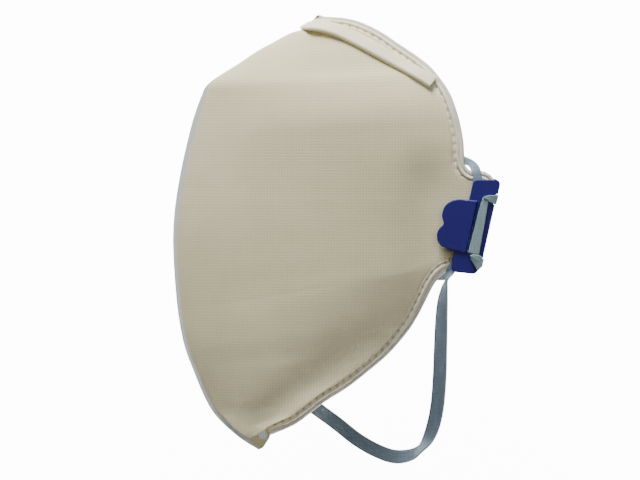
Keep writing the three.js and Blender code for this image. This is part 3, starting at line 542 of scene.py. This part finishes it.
# Nose strip: its centre line on the near half, from its end up to the ridge, as the side view shows it
STRIP_LINE = table(
    ["y", "z", "seat"],
    [
        (42.0, -24.8, 0.5), (38.8, -22.8, 0.5), (35.4, -20.9, 0.5), (28.4, -16.8, 0.5), (21.4, -12.9, 0.5),
        (15.5, -9.7, 0.5), (10.5, -7.2, 0.6), (6.0, -5.5, 0.9), (2.0, -4.7, 1.1), (-1.4, -4.5, 1.2),
    ],
)
STRIP_TOP = np.array([0.0, -5.2, -2.7])
RIDGE_OUT = np.array([0.0, -0.51, 0.86])
STRIP_FOLD = {"width": 0.85, "thick": 0.6, "sink": 0.35, "over": 7.0}
STRIP_CUT = {"points": 11, "hem_rim": 0.2, "low_rim": 0.5, "low_start": 0.96}
STRIP_STEP = 0.4
NEAREST = 24  # points of the sheet that a seat is read from


def on_sheet(surface, y, z):
    """The near face's point at a place of the side view, and its normal: a plane by the nearest points."""
    points = surface.reshape(-1, 3)
    nearest = points[np.argsort((points[:, 1] - y) ** 2 + (points[:, 2] - z) ** 2)[:NEAREST]]
    terms = np.stack([np.ones(NEAREST), nearest[:, 1] - y, nearest[:, 2] - z], axis=-1)
    (x, slope_y, slope_z), *_ = np.linalg.lstsq(terms, nearest[:, 0], rcond=None)
    return np.array([x, y, z]), unit(np.array([1.0, -slope_y, -slope_z]))


def soft_cut(thick, points, hem_rim, low_rim, low_start):
    """The cut of the strip, as (a share of half the width, a height). The edge by the hem is half an ellipse.
    The other one falls from the upper face to the lower one in a quarter of an ellipse, and the lower face
    starts at low_start."""
    upper = np.stack([np.linspace(-1 + hem_rim, 1 - low_rim, points), np.full(points, thick / 2)], axis=-1)
    fall = np.linspace(0, math.pi / 2, 11)[1:]
    low = np.stack([1 - low_rim + low_rim * np.sin(fall), thick * (np.cos(fall) - 0.5)], axis=-1)
    lower = np.stack([np.linspace(low_start, -1 + hem_rim, points), np.full(points, -thick / 2)], axis=-1)
    turn = np.linspace(math.pi, 0, 9)[1:-1]
    hem = np.stack([hem_rim - 1 - hem_rim * np.sin(turn), thick / 2 * np.cos(turn)], axis=-1)
    return np.concatenate([upper, low, lower, hem])


def nose_strip(surface, material):
    """A bar with soft edges, laid on the sheet from its near end over the ridge to its far end. It is
    narrower, thinner and lower where it is folded over the ridge."""
    last = len(STRIP_LINE["y"]) - 1
    place = np.linspace(0, last, 2 * last + 1)
    line = np.stack([curve(STRIP_LINE[name], place) for name in ("y", "z", "seat")], axis=-1)
    side, facing = [], []
    for y, z, seat in line:
        point, normal = on_sheet(surface, y, z)
        side.append(point + normal * (seat + STRIP["thick"] / 2))
        facing.append(normal)
    side, facing = np.array(side), np.array(facing)
    centre = np.concatenate([side, STRIP_TOP[None], side[::-1] * FLIP])
    facing = np.concatenate([facing, RIDGE_OUT[None], facing[::-1] * FLIP])
    centre, facing = along_curve(centre, 10), along_curve(facing, 10)
    _, centre, facing = even(centre, STRIP_STEP, facing)
    along = unit(np.gradient(centre, axis=0))
    full = smooth(0, STRIP_FOLD["over"], np.linalg.norm(centre - STRIP_TOP, axis=1))
    width = STRIP["width"] * (STRIP_FOLD["width"] + (1 - STRIP_FOLD["width"]) * full)
    thin = STRIP_FOLD["thick"] + (1 - STRIP_FOLD["thick"]) * full
    centre = centre - RIDGE_OUT * (STRIP_FOLD["sink"] * (1 - full))[:, None]
    cut = soft_cut(STRIP["thick"], **STRIP_CUT)
    return ribbon("nose_strip_bar", centre, np.cross(facing, along), width, cut, material, thin)


# Clips. Their outlines lie on a plane that leans with the ear tab: u points back, v up along the spine.
# An outline's corners are (u, v, radius). foot, frame, top and plate are distances off the middle plane.
CLIP = {
    "y": 62.45, "z": -78.35, "lean": math.radians(12.5),
    "foot": 18.3, "frame": 19.9, "top": 21.1, "plate": 21.7,
}
CLIP_FRAME = [
    (-9.5, 17.1, 1.6), (0.35, 19.3, 2.4), (0.3, 13.9, 0.1), (-0.7, 13.8, 0.1), (-0.7, 10.0, 0.1),
    (0.0, 9.9, 0.1), (0.0, -9.9, 0.1), (-0.9, -10.0, 0.1), (-0.9, -13.2, 0.1), (-0.4, -13.3, 0.1),
    (-1.2, -16.2, 1.6), (-10.4, -17.2, 2.2), (-10.7, -8.8, 0.8), (-9.5, 9.4, 0.8),
]
CLIP_SLOT = [(-5.2, 10.3, 0.5), (-5.7, -9.3, 0.5), (-1.9, -9.3, 0.5), (-2.6, 10.3, 0.5)]
CLIP_PLATE = [
    (-6.2, 10.1, 0.3), (-6.2, -9.5, 0.3), (-13.4, -9.4, 1.3), (-17.0, -8.6, 2.2), (-18.7, -4.0, 2.4),
    (-16.4, -0.8, 0.9), (-18.0, 1.6, 1.4), (-17.8, 6.2, 2.4), (-14.2, 9.0, 1.9),
]
CLIP_FOOT = [(-7.4, 8.4, 0.8), (-7.4, -8.0, 0.8), (-15.6, -7.4, 2.0), (-15.6, 7.0, 2.0)]
BAND_RIBBON = table(
    ["u", "v", "width"],
    [(-3.8, 11.3, 2.3), (-3.75, 4.5, 3.1), (-3.7, -2.5, 3.6), (-3.7, -9.2, 4.1)],
)
BAND_TOP = [
    (-4.9, 11.7, 0.3), (-2.9, 12.9, 0.3), (0.5, 13.6, 0.3), (0.6, 12.1, 0.3), (0.4, 10.0, 0.2),
    (-2.3, 10.4, 0.2),
]
BAND_FOOT = [
    (-4.9, -9.9, 0.2), (-3.6, -9.2, 0.4), (-1.0, -9.1, 0.6), (0.4, -11.0, 0.9), (0.1, -13.6, 0.7),
    (-0.9, -14.7, 0.3), (-4.2, -11.4, 0.3),
]
# The folds at the ribbon's ends: an outline, its two heights above the seat, and the rise with u and with v
BAND_FOLDS = [(BAND_TOP, 0.25, 0.95, (-0.1, 0.06)), (BAND_FOOT, 0.2, 0.9, (-0.12, 0.04))]
BAND_SEAT = 0.1  # between the clip and the elastic over it
BAND_TURN = {"inside": -0.4, "outside": 0.45}
BAND_LEGS = [(10.05, 13.75, -4.5), (-13.15, -10.05, -6.8)]
GAP = 0.3
PLATE_RING = 1.2  # of the rim: the flat ring inside a plate's rounded edge


def on_clip(u, v, x, side):
    """A point of the clip's plane: u back and v up along the leaning spine, x off the middle plane."""
    y = CLIP["y"] + u * math.cos(CLIP["lean"]) + v * math.sin(CLIP["lean"])
    z = CLIP["z"] - u * math.sin(CLIP["lean"]) + v * math.cos(CLIP["lean"])
    return np.stack(np.broadcast_arrays(side * np.asarray(x, float), y, z), axis=-1)


def outline(corners):
    """The line round an outline, with each corner a quadratic curve of its radius."""
    points = []
    for i, (u, v, radius) in enumerate(corners):
        corner = np.array([u, v])
        beside = (corners[i - 1], corners[(i + 1) % len(corners)])
        ends = [corner + radius * unit(np.array(other[:2]) - corner) for other in beside]
        for t in np.linspace(0, 1, 6 if radius > 0.5 else 3):
            points.append((1 - t) ** 2 * ends[0] + 2 * t * (1 - t) * corner + t**2 * ends[1])
    return np.array(points)


def plate(corners, low, high, side, rim=0.3, tilt=(0, 0)):
    """A plate's points and faces: its outline from low to high, with the upper and lower rims rounded by rim.
    tilt is how far it rises for each millimetre of u and of v."""
    line = outline(corners)
    area = np.sum(line[:, 0] * np.roll(line[:, 1], -1) - np.roll(line[:, 0], -1) * line[:, 1])
    along = unit(np.roll(line, -1, axis=0) - np.roll(line, 1, axis=0))
    inward = np.stack([-along[:, 1], along[:, 0]], axis=-1) * math.copysign(1, area)
    lift = (line - line.mean(axis=0)) @ np.array(tilt)
    turn = np.linspace(0, math.pi / 2, 4)
    rows = [(rim * (1 - math.cos(t)), high - abs(rim) + abs(rim) * math.sin(t)) for t in turn]
    rows.append((rim * PLATE_RING, high))
    rows = [(inset, low + high - height) for inset, height in rows[::-1]] + rows
    rings = [on_clip(*(line + inward * inset).T, height + lift, side) for inset, height in rows]
    count = len(line)
    faces = grid_faces(len(rings), count, wrap=True).tolist()
    faces += [list(range(count)), list(range((len(rings) - 1) * count, len(rings) * count))]
    return np.concatenate(rings), faces


def fuse(name, parts, material):
    """Several closed shapes in one mesh."""
    points, faces, start = [], [], 0
    for part, part_faces in parts:
        points.append(part)
        faces += [[k + start for k in face] for face in part_faces]
        start += len(part)
    return make_mesh(name, np.concatenate(points), faces, material)


def plate_with_slot(corners, slot, low, high, side, rim=0.3):
    """A plate with one hole: the walls of both lines, and the two faces between them."""
    outer, outer_faces = plate(corners, low, high, side, rim)
    inner, inner_faces = plate(slot, low, high, side, -rim)
    outer_count, inner_count = len(outline(corners)), len(outline(slot))
    start = len(outer)
    faces = outer_faces[:-2] + [[k + start for k in face] for face in inner_faces[:-2]]
    for outer_row, inner_row in ((0, 0), (len(outer) - outer_count, len(inner) - inner_count)):
        lines = [outer[outer_row : outer_row + outer_count], inner[inner_row : inner_row + inner_count]]
        numbers = [*range(outer_row, outer_row + outer_count)]
        numbers += range(start + inner_row, start + inner_row + inner_count)
        for face in tessellate_polygon([[Vector(point) for point in line] for line in lines]):
            faces.append([numbers[k] for k in face])
    return np.concatenate([outer, inner]), faces


def strap_clip(name, side, material):
    """The slotted frame, the lobed plate and the foot between the frame and the ear tab."""
    return fuse(name, [
        plate_with_slot(CLIP_FRAME, CLIP_SLOT, CLIP["frame"], CLIP["top"], side),
        plate(CLIP_PLATE, CLIP["frame"] - 0.1, CLIP["plate"], side, 0.4),
        plate(CLIP_FOOT, CLIP["foot"], CLIP["frame"], side, 0.1),
    ], material)


def clip_band(name, side, material):
    """The elastic where it is threaded: up over the slot, folded over at both ends and round the spine to
    the back."""
    back = CLIP["frame"] - GAP
    front = CLIP["top"] + BAND_SEAT
    place = np.linspace(0, 3, 25)
    u, v, width = (curve(BAND_RIBBON[name], place) for name in ("u", "v", "width"))
    centre = on_clip(u, v, front + ELASTIC_THICK / 2, side)
    across = on_clip(1.0, 0.0, 0.0, side) - on_clip(0.0, 0.0, 0.0, side)
    rings, faces = bar_along(centre, across, width, strap_cut(ribs=3, points=13, depth=0.05))
    parts = [(rings.reshape(-1, 3), faces)]
    for corners, low, high, tilt in BAND_FOLDS:
        parts.append(plate(corners, front + low, front + high, side, 0.25, tilt))
    for low, high, end in BAND_LEGS:
        for u0, u1, from_x, to_x in (
            (BAND_TURN["inside"], BAND_TURN["outside"], back - ELASTIC_THICK, front + 0.4),
            (end, BAND_TURN["inside"] + 0.1, back - ELASTIC_THICK, back),
        ):
            box = [(u0, low, 0.1), (u1, low, 0.1), (u1, high, 0.1), (u0, high, 0.1)]
            parts.append(plate(box, from_x, to_x, side, 0.15))
    return fuse(name, parts, material)


# Straps: rows of centre points and the way across the elastic

# Crown strap, from behind the near clip's upper tab over the neck of the hem into the hollow, to its middle
CROWN = table(
    ["x", "y", "z", "across_y", "across_z", "width"],
    [
        (19.2, 58.4, -66.4, 0.98, -0.22, 3.4),
        (19.2, 58.4, -62.0, 1.0, 0.0, 3.4),
        (19.2, 58.3, -58.6, 1.0, 0.1, 3.4),
        (18.9, 57.9, -56.4, 0.93, 0.35, 3.2),
        (17.6, 56.9, -54.5, 0.75, 0.66, 2.9),
        (15.2, 55.1, -53.2, 0.45, 0.87, 2.7),
        (13.4, 52.4, -52.6, 0.1, 1.0, 3.4),
        (12.6, 47.0, -52.2, 0.0, 1.0, 4.6),
        (12.0, 36.0, -51.5, 0.0, 1.0, 5.2),
        (11.0, 20.0, -51.0, 0.0, 1.0, 5.2),
        (9.8, 4.0, -50.5, 0.0, 1.0, 5.2),
        (8.4, -8.0, -50.0, 0.0, 1.0, 5.2),
        (6.8, -14.5, -49.8, 0.0, 1.0, 5.2),
        (4.0, -19.0, -49.7, 0.0, 1.0, 5.2),
        (0.0, -20.8, -49.6, 0.0, 1.0, 5.2),
    ],
)

# Neck strap, from behind the near clip's lower tab, down in a hanging loop, into the hollow and up to the
# far clip. turn is how far its face is turned from the side view, in degrees.
NECK = table(
    ["x", "y", "z", "turn", "width"],
    [
        (19.2, 51.4, -87.4, 0, 3.4),
        (19.2, 50.0, -90.2, 0, 3.4),
        (19.1, 48.6, -92.6, 0, 3.2),
        (18.9, 47.4, -95.2, 80, 3.4),
        (18.2, 46.4, -99.4, 62, 4.4),
        (16.6, 45.7, -104.5, 42, 4.9),
        (14.0, 45.3, -111.0, 27, 5.0),
        (9.5, 45.0, -121.0, 16, 5.1),
        (5.0, 44.7, -131.5, 8, 5.2),
        (2.0, 44.0, -141.5, 4, 5.2),
        (0.4, 42.7, -149.0, 10, 5.2),
        (-0.3, 40.7, -154.6, 35, 5.2),
        (-0.8, 37.8, -158.7, 64, 5.2),
        (-1.1, 33.8, -161.2, 38, 5.2),
        (-1.2, 28.2, -161.8, 10, 5.2),
        (-1.2, 22.0, -159.8, 0, 5.2),
        (-1.0, 14.5, -155.6, 0, 5.2),
        (-0.8, 7.0, -149.7, 0, 5.2),
        (-0.6, 0.5, -144.9, 0, 5.2),
        (-0.6, -5.5, -140.2, 15, 5.2),
        (-0.9, -10.6, -134.8, 40, 5.2),
        (-1.5, -13.2, -128.3, 60, 5.2),
        (-2.4, -12.2, -121.6, 60, 5.2),
        (-3.8, -7.4, -115.6, 40, 5.2),
        (-5.6, 0.8, -110.6, 15, 5.2),
        (-7.8, 11.0, -106.6, 0, 5.2),
        (-9.8, 23.0, -103.2, 0, 5.0),
        (-11.4, 33.5, -98.9, 0, 4.4),
        (-12.6, 39.0, -96.6, 0, 3.8),
        (-14.2, 43.6, -95.9, 0, 3.0),
        (-17.2, 47.2, -95.9, 0, 2.6),
        (-19.0, 48.8, -93.4, 0, 2.8),
        (-19.2, 50.0, -90.2, 0, 3.4),
        (-19.2, 51.4, -87.4, 0, 3.4),
    ],
)
STRAP_STEPS = 16  # between two rows
STRAP_STEP = 0.5  # between two rings of the finished bar
STRAP_FLAT = 0.94  # of half the width, up to the round edge


def strap_cut(ribs=7, points=29, depth=0.07):
    """The cut of a flat elastic: round edges, and ribs that run along both faces."""
    across = np.linspace(-STRAP_FLAT, STRAP_FLAT, points)
    ripple = 1 - np.cos(math.tau * ribs * (across + STRAP_FLAT) / (2 * STRAP_FLAT))
    height = ELASTIC_THICK / 2 - depth * 0.5 * ripple
    turn = np.linspace(0, math.pi, 7)[1:-1]
    end = np.stack([STRAP_FLAT + 0.06 * np.sin(turn), 0.8 * ELASTIC_THICK / 2 * np.cos(turn)], axis=-1)
    upper = np.stack([across, height], axis=-1)
    return np.concatenate([upper, end, upper[::-1] * [1, -1], end[::-1] * [-1, 1]])


def strap(name, centre, across, width, material):
    """A strap of even steps along its route, with the route."""
    _, centre, across, width = even(centre, STRAP_STEP, across, width[:, None])
    return ribbon(name, centre, across, width[:, 0], strap_cut(), material), centre


def crown_strap(material):
    """The upper loop: its table gives one half, and the other is the mirror image."""
    last = len(CROWN["x"]) - 1
    place = np.linspace(0, last, last * STRAP_STEPS + 1)
    col = {name: curve(CROWN[name], place) for name in CROWN}
    centre = np.stack([col["x"], col["y"], col["z"]], axis=-1)
    across = np.stack([0 * place, col["across_y"], col["across_z"]], axis=-1)
    centre = np.concatenate([centre, centre[-2::-1] * FLIP])
    across = np.concatenate([across, across[-2::-1]])
    width = np.concatenate([col["width"], col["width"][-2::-1]])
    return strap("crown_strap_elastic", centre, across, width, material)


def neck_strap(material):
    """The lower loop, whose face is turned about its route by the angle in its table."""
    last = len(NECK["x"]) - 1
    place = np.linspace(0, last, last * STRAP_STEPS + 1)
    centre = np.stack([curve(NECK[name], place) for name in ("x", "y", "z")], axis=-1)
    before, after = np.maximum(place - 0.1, 0), np.minimum(place + 0.1, last)
    steps = [curve(NECK[name], after) - curve(NECK[name], before) for name in ("y", "z")]
    way = unit(np.stack(steps, axis=-1))
    turn = np.radians(curve(NECK["turn"], place))
    across = np.stack([np.sin(turn), -way[:, 1] * np.cos(turn), way[:, 0] * np.cos(turn)], axis=-1)
    return strap("neck_strap_elastic", centre, across, curve(NECK["width"], place), material)


# Materials


class Nodes:
    """A material's nodes, added one at a time with their inputs."""

    def __init__(self, name, **shader):
        self.material = bpy.data.materials.new(name)
        self.material.use_nodes = True
        self.tree = self.material.node_tree
        self.shader = self.tree.nodes["Principled BSDF"]
        for key, value in shader.items():
            self.shader.inputs[key.replace("_", " ")].default_value = value

    def add(self, kind, inputs=None, **settings):
        node = self.tree.nodes.new(kind)
        for key, value in settings.items():
            setattr(node, key, value)
        for key, value in (inputs or {}).items():
            if isinstance(value, bpy.types.NodeSocket):
                self.tree.links.new(value, node.inputs[key])
            else:
                node.inputs[key].default_value = value
        return node

    def math(self, operation, *values):
        return self.add("ShaderNodeMath", dict(enumerate(values)), operation=operation).outputs[0]

    def blend(self, factor, first, second):
        node = self.add("ShaderNodeMix", {"Factor": factor}, data_type="RGBA")
        for socket, value in ((node.inputs[6], first), (node.inputs[7], second)):
            if isinstance(value, bpy.types.NodeSocket):
                self.tree.links.new(value, socket)
            else:
                socket.default_value = value
        return node.outputs[2]

    def noise(self, vector, scale, detail=3.0, rough=0.6):
        inputs = {"Vector": vector, "Scale": scale, "Detail": detail, "Roughness": rough}
        return self.add("ShaderNodeTexNoise", inputs).outputs["Fac"]

    def value(self, name):
        return self.add("ShaderNodeAttribute", attribute_name=name).outputs["Fac"]

    def place(self):
        return self.add("ShaderNodeTexCoord").outputs["Object"]

    def bump(self, height, strength, distance=0.0003):
        node = self.add("ShaderNodeBump", {"Height": height, "Strength": strength, "Distance": distance})
        self.tree.links.new(node.outputs["Normal"], self.shader.inputs["Normal"])

    def colour(self, socket):
        self.tree.links.new(socket, self.shader.inputs["Base Color"])
        return self.material


def rgb(red, green, blue):
    """A colour in the eye's scale, 0 to 255, as the shader's linear one. No channel here is under 11."""
    return (*(((channel / 255 + 0.055) / 1.055) ** 2.4 for channel in (red, green, blue)), 1.0)


GRID_PITCH = 0.00106
RIB_PITCH = 0.0005
# A painted highlight: the glint on the chin tab, coloured as a ragged bluish-white patch.
CHIN_HIGHLIGHT = {"at": (0.0, -0.0203, -0.1537), "radius": 0.0017, "ragged": 0.0008}


def woven_lines(nodes, pitch):
    """Fine lines along Y and Z, wandering a little: 0 to 1, high on the threads."""
    place = nodes.add("ShaderNodeSeparateXYZ", {"Vector": nodes.place()})
    wander = nodes.noise(nodes.place(), 140.0, 2.0)
    lines = []
    for axis in ("Y", "Z"):
        shift = nodes.math("MULTIPLY", wander, 3.0)
        phase = nodes.math("MULTIPLY_ADD", place.outputs[axis], math.tau / pitch, shift)
        lines.append(nodes.math("MULTIPLY_ADD", nodes.math("SINE", phase), 0.5, 0.5))
    return nodes.math("MULTIPLY", nodes.math("ADD", *lines), 0.5)


def sheet_material():
    """Ivory cloth with a fine grid, a pale weld along the folded edge whose bluish white is partly a painted
    sheen, and a painted highlight in the chin tab.
    """
    nodes = Nodes("sheet", Roughness=0.95)
    lines = woven_lines(nodes, GRID_PITCH)
    fibres = nodes.noise(nodes.place(), 1500.0, 4.0, 0.7)
    patches = nodes.noise(nodes.place(), 45.0, 3.0)
    height = nodes.math("ADD", nodes.math("MULTIPLY", lines, 0.5), nodes.math("MULTIPLY", fibres, 0.5))
    nodes.bump(height, 0.35)
    base = nodes.blend(patches, rgb(238, 229, 189), rgb(229, 219, 177))
    clear = nodes.math("MULTIPLY_ADD", nodes.noise(nodes.place(), 60.0, 2.0), 0.8, 0.05)
    cloth = nodes.blend(nodes.math("MULTIPLY", lines, clear), base, rgb(203, 193, 156))
    # The weld's colour: paler pressed cloth, with a painted sheen that makes it bluish white.
    weld = nodes.blend(fibres, rgb(205, 215, 214), rgb(236, 240, 236))
    # Painted highlight: a ragged bluish-white patch in the chin tab, standing in for the glint of its gloss.
    between = {0: nodes.place(), 1: CHIN_HIGHLIGHT["at"]}
    highlight_distance = nodes.add("ShaderNodeVectorMath", between, operation="DISTANCE").outputs["Value"]
    uneven = nodes.noise(nodes.place(), 900.0, 1.0)
    inner_radius = CHIN_HIGHLIGHT["radius"] - CHIN_HIGHLIGHT["ragged"] / 2
    radius = nodes.math("MULTIPLY_ADD", uneven, CHIN_HIGHLIGHT["ragged"], inner_radius)
    inside = nodes.math("LESS_THAN", highlight_distance, radius)
    with_weld_and_sheen = nodes.blend(nodes.value("weld"), cloth, weld)
    return nodes.colour(nodes.blend(inside, with_weld_and_sheen, rgb(244, 250, 255)))


def hem_material():
    """The cloth of the hem, a little greyer by its free edge, with painted shade darkening that edge, and
    darker in the dots.
    """
    nodes = Nodes("hem", Roughness=0.9)
    fibres = nodes.noise(nodes.place(), 1400.0, 4.0, 0.7)
    nodes.bump(fibres, 0.3)
    base = nodes.blend(fibres, rgb(243, 236, 208), rgb(232, 223, 194))
    across = nodes.value("across")
    # edge is painted shade: it darkens the last few tenths of a millimetre at the hem's free edge.
    band, edge = (
        nodes.add("ShaderNodeMapRange", {"Value": across, "From Min": none, "From Max": full}).outputs[0]
        for none, full in ((1.7, 1.3), (0.3, 0.1))
    )
    tinted = nodes.blend(edge, nodes.blend(band, base, rgb(230, 221, 208)), rgb(176, 166, 152))
    return nodes.colour(nodes.blend(nodes.value("dot"), tinted, rgb(196, 186, 158)))


def strip_material():
    nodes = Nodes("strip", Roughness=0.55)
    nodes.bump(nodes.noise(nodes.place(), 500.0, 2.0), 0.08)
    nodes.shader.inputs["Base Color"].default_value = rgb(244, 237, 200)
    return nodes.material


def plastic_material():
    nodes = Nodes("plastic", Roughness=0.4, Specular_IOR_Level=0.25)
    nodes.bump(nodes.noise(nodes.place(), 300.0, 2.0), 0.03)
    nodes.shader.inputs["Base Color"].default_value = rgb(36, 32, 114)
    return nodes.material


def elastic_material(name, light, dark):
    """Braided elastic: a fine grid between two colours."""
    nodes = Nodes(name, Roughness=0.85)
    weave_lines = woven_lines(nodes, RIB_PITCH)
    nodes.bump(weave_lines, 0.4, 0.0002)
    return nodes.colour(nodes.blend(weave_lines, dark, light))


# The scene
add_camera()

SHEET, HEM, STRIP_FINISH = sheet_material(), hem_material(), strip_material()
PLASTIC = plastic_material()
STRAP_FINISH = elastic_material("strap_elastic", rgb(146, 164, 180), rgb(106, 125, 142))
# The threaded elastic is the straps' elastic painted lighter and greener: painted light on the part that
# faces the lamps.
BAND_LIT_FINISH = elastic_material("band_elastic_painted_light", rgb(156, 180, 186), rgb(112, 136, 142))


def place_piece(piece, slot, *nodes):
    """The piece stands for these nodes of the solid, which are hidden, and hangs on the root. slot is not
    used.
    """
    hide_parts(*nodes)
    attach(piece, "root")


for make, node in ((crown_strap, "crown_strap"), (neck_strap, "neck_strap")):
    piece, route = make(STRAP_FINISH)
    place_piece(piece, "elastic", node)

shell, near_face = filter_shell(SHEET)
place_piece(shell, "sheet", "filter_shell")
hem = face_hem(HEM)
place_piece(hem, "sheet", "face_hem")
place_piece(nose_strip(near_face, STRIP_FINISH), "strip", "nose_strip")
for side, word in ((1, "left"), (-1, "right")):
    place_piece(strap_clip(f"clip_{word}", side, PLASTIC), "clip", f"strap_clip_{word}")
    place_piece(clip_band(f"band_{word}", side, BAND_LIT_FINISH), "elastic", f"clip_band_{word}")


# Floor and light


def studio():
    """A pale floor below the piece that curves up into a wall behind it."""
    turn = np.linspace(0, math.pi / 2, 13)
    bend = [(-900 - 400 * math.sin(t), -600 + 400 * (1 - math.cos(t))) for t in turn]
    line = np.array([(100.0, -600.0), *bend, (-1300.0, 1500.0)])
    width = np.array([-1800.0, 1800.0])
    points = np.stack(np.broadcast_arrays(line[:, None, 0], width[None, :], line[:, None, 1]), axis=-1)
    nodes = Nodes("floor", Roughness=0.9)
    nodes.shader.inputs["Base Color"].default_value = (0.92, 0.92, 0.92, 1.0)
    floor = make_mesh("floor", points.reshape(-1, 3), grid_faces(len(line), 2).tolist(), nodes.material)


def lamp(name, place, size, power, aim=tuple(TARGET * MM)):
    """A square soft light of that size in metres and power in watts."""
    data = bpy.data.lights.new(name, "AREA")
    data.energy = power
    data.size = size
    lamp_object = bpy.data.objects.new(name, data)
    lamp_object.location = Vector(place)
    lamp_object.rotation_euler = (Vector(place) - Vector(aim)).to_track_quat("Z", "Y").to_euler()
    bpy.context.scene.collection.objects.link(lamp_object)


studio()
lamp("key", (0.31, -0.14, 0.95), 0.4, 23.0)
lamp("top", (0.0, -0.1, 1.0), 0.4, 7.0)
lamp("fill", (1.25, 0.4, 0.45), 0.9, 5.5)
for y in (-0.75, 0.75):
    lamp("wall_light", (-0.55, y, 0.1), 0.5, 100.0, aim=(-1.3, 0.2 * y, -0.05))
world = bpy.data.worlds.new("world")
world.use_nodes = True
world.node_tree.nodes["Background"].inputs["Color"].default_value = (1.0, 1.0, 1.0, 1.0)
world.node_tree.nodes["Background"].inputs["Strength"].default_value = 0.05
bpy.context.scene.world = world
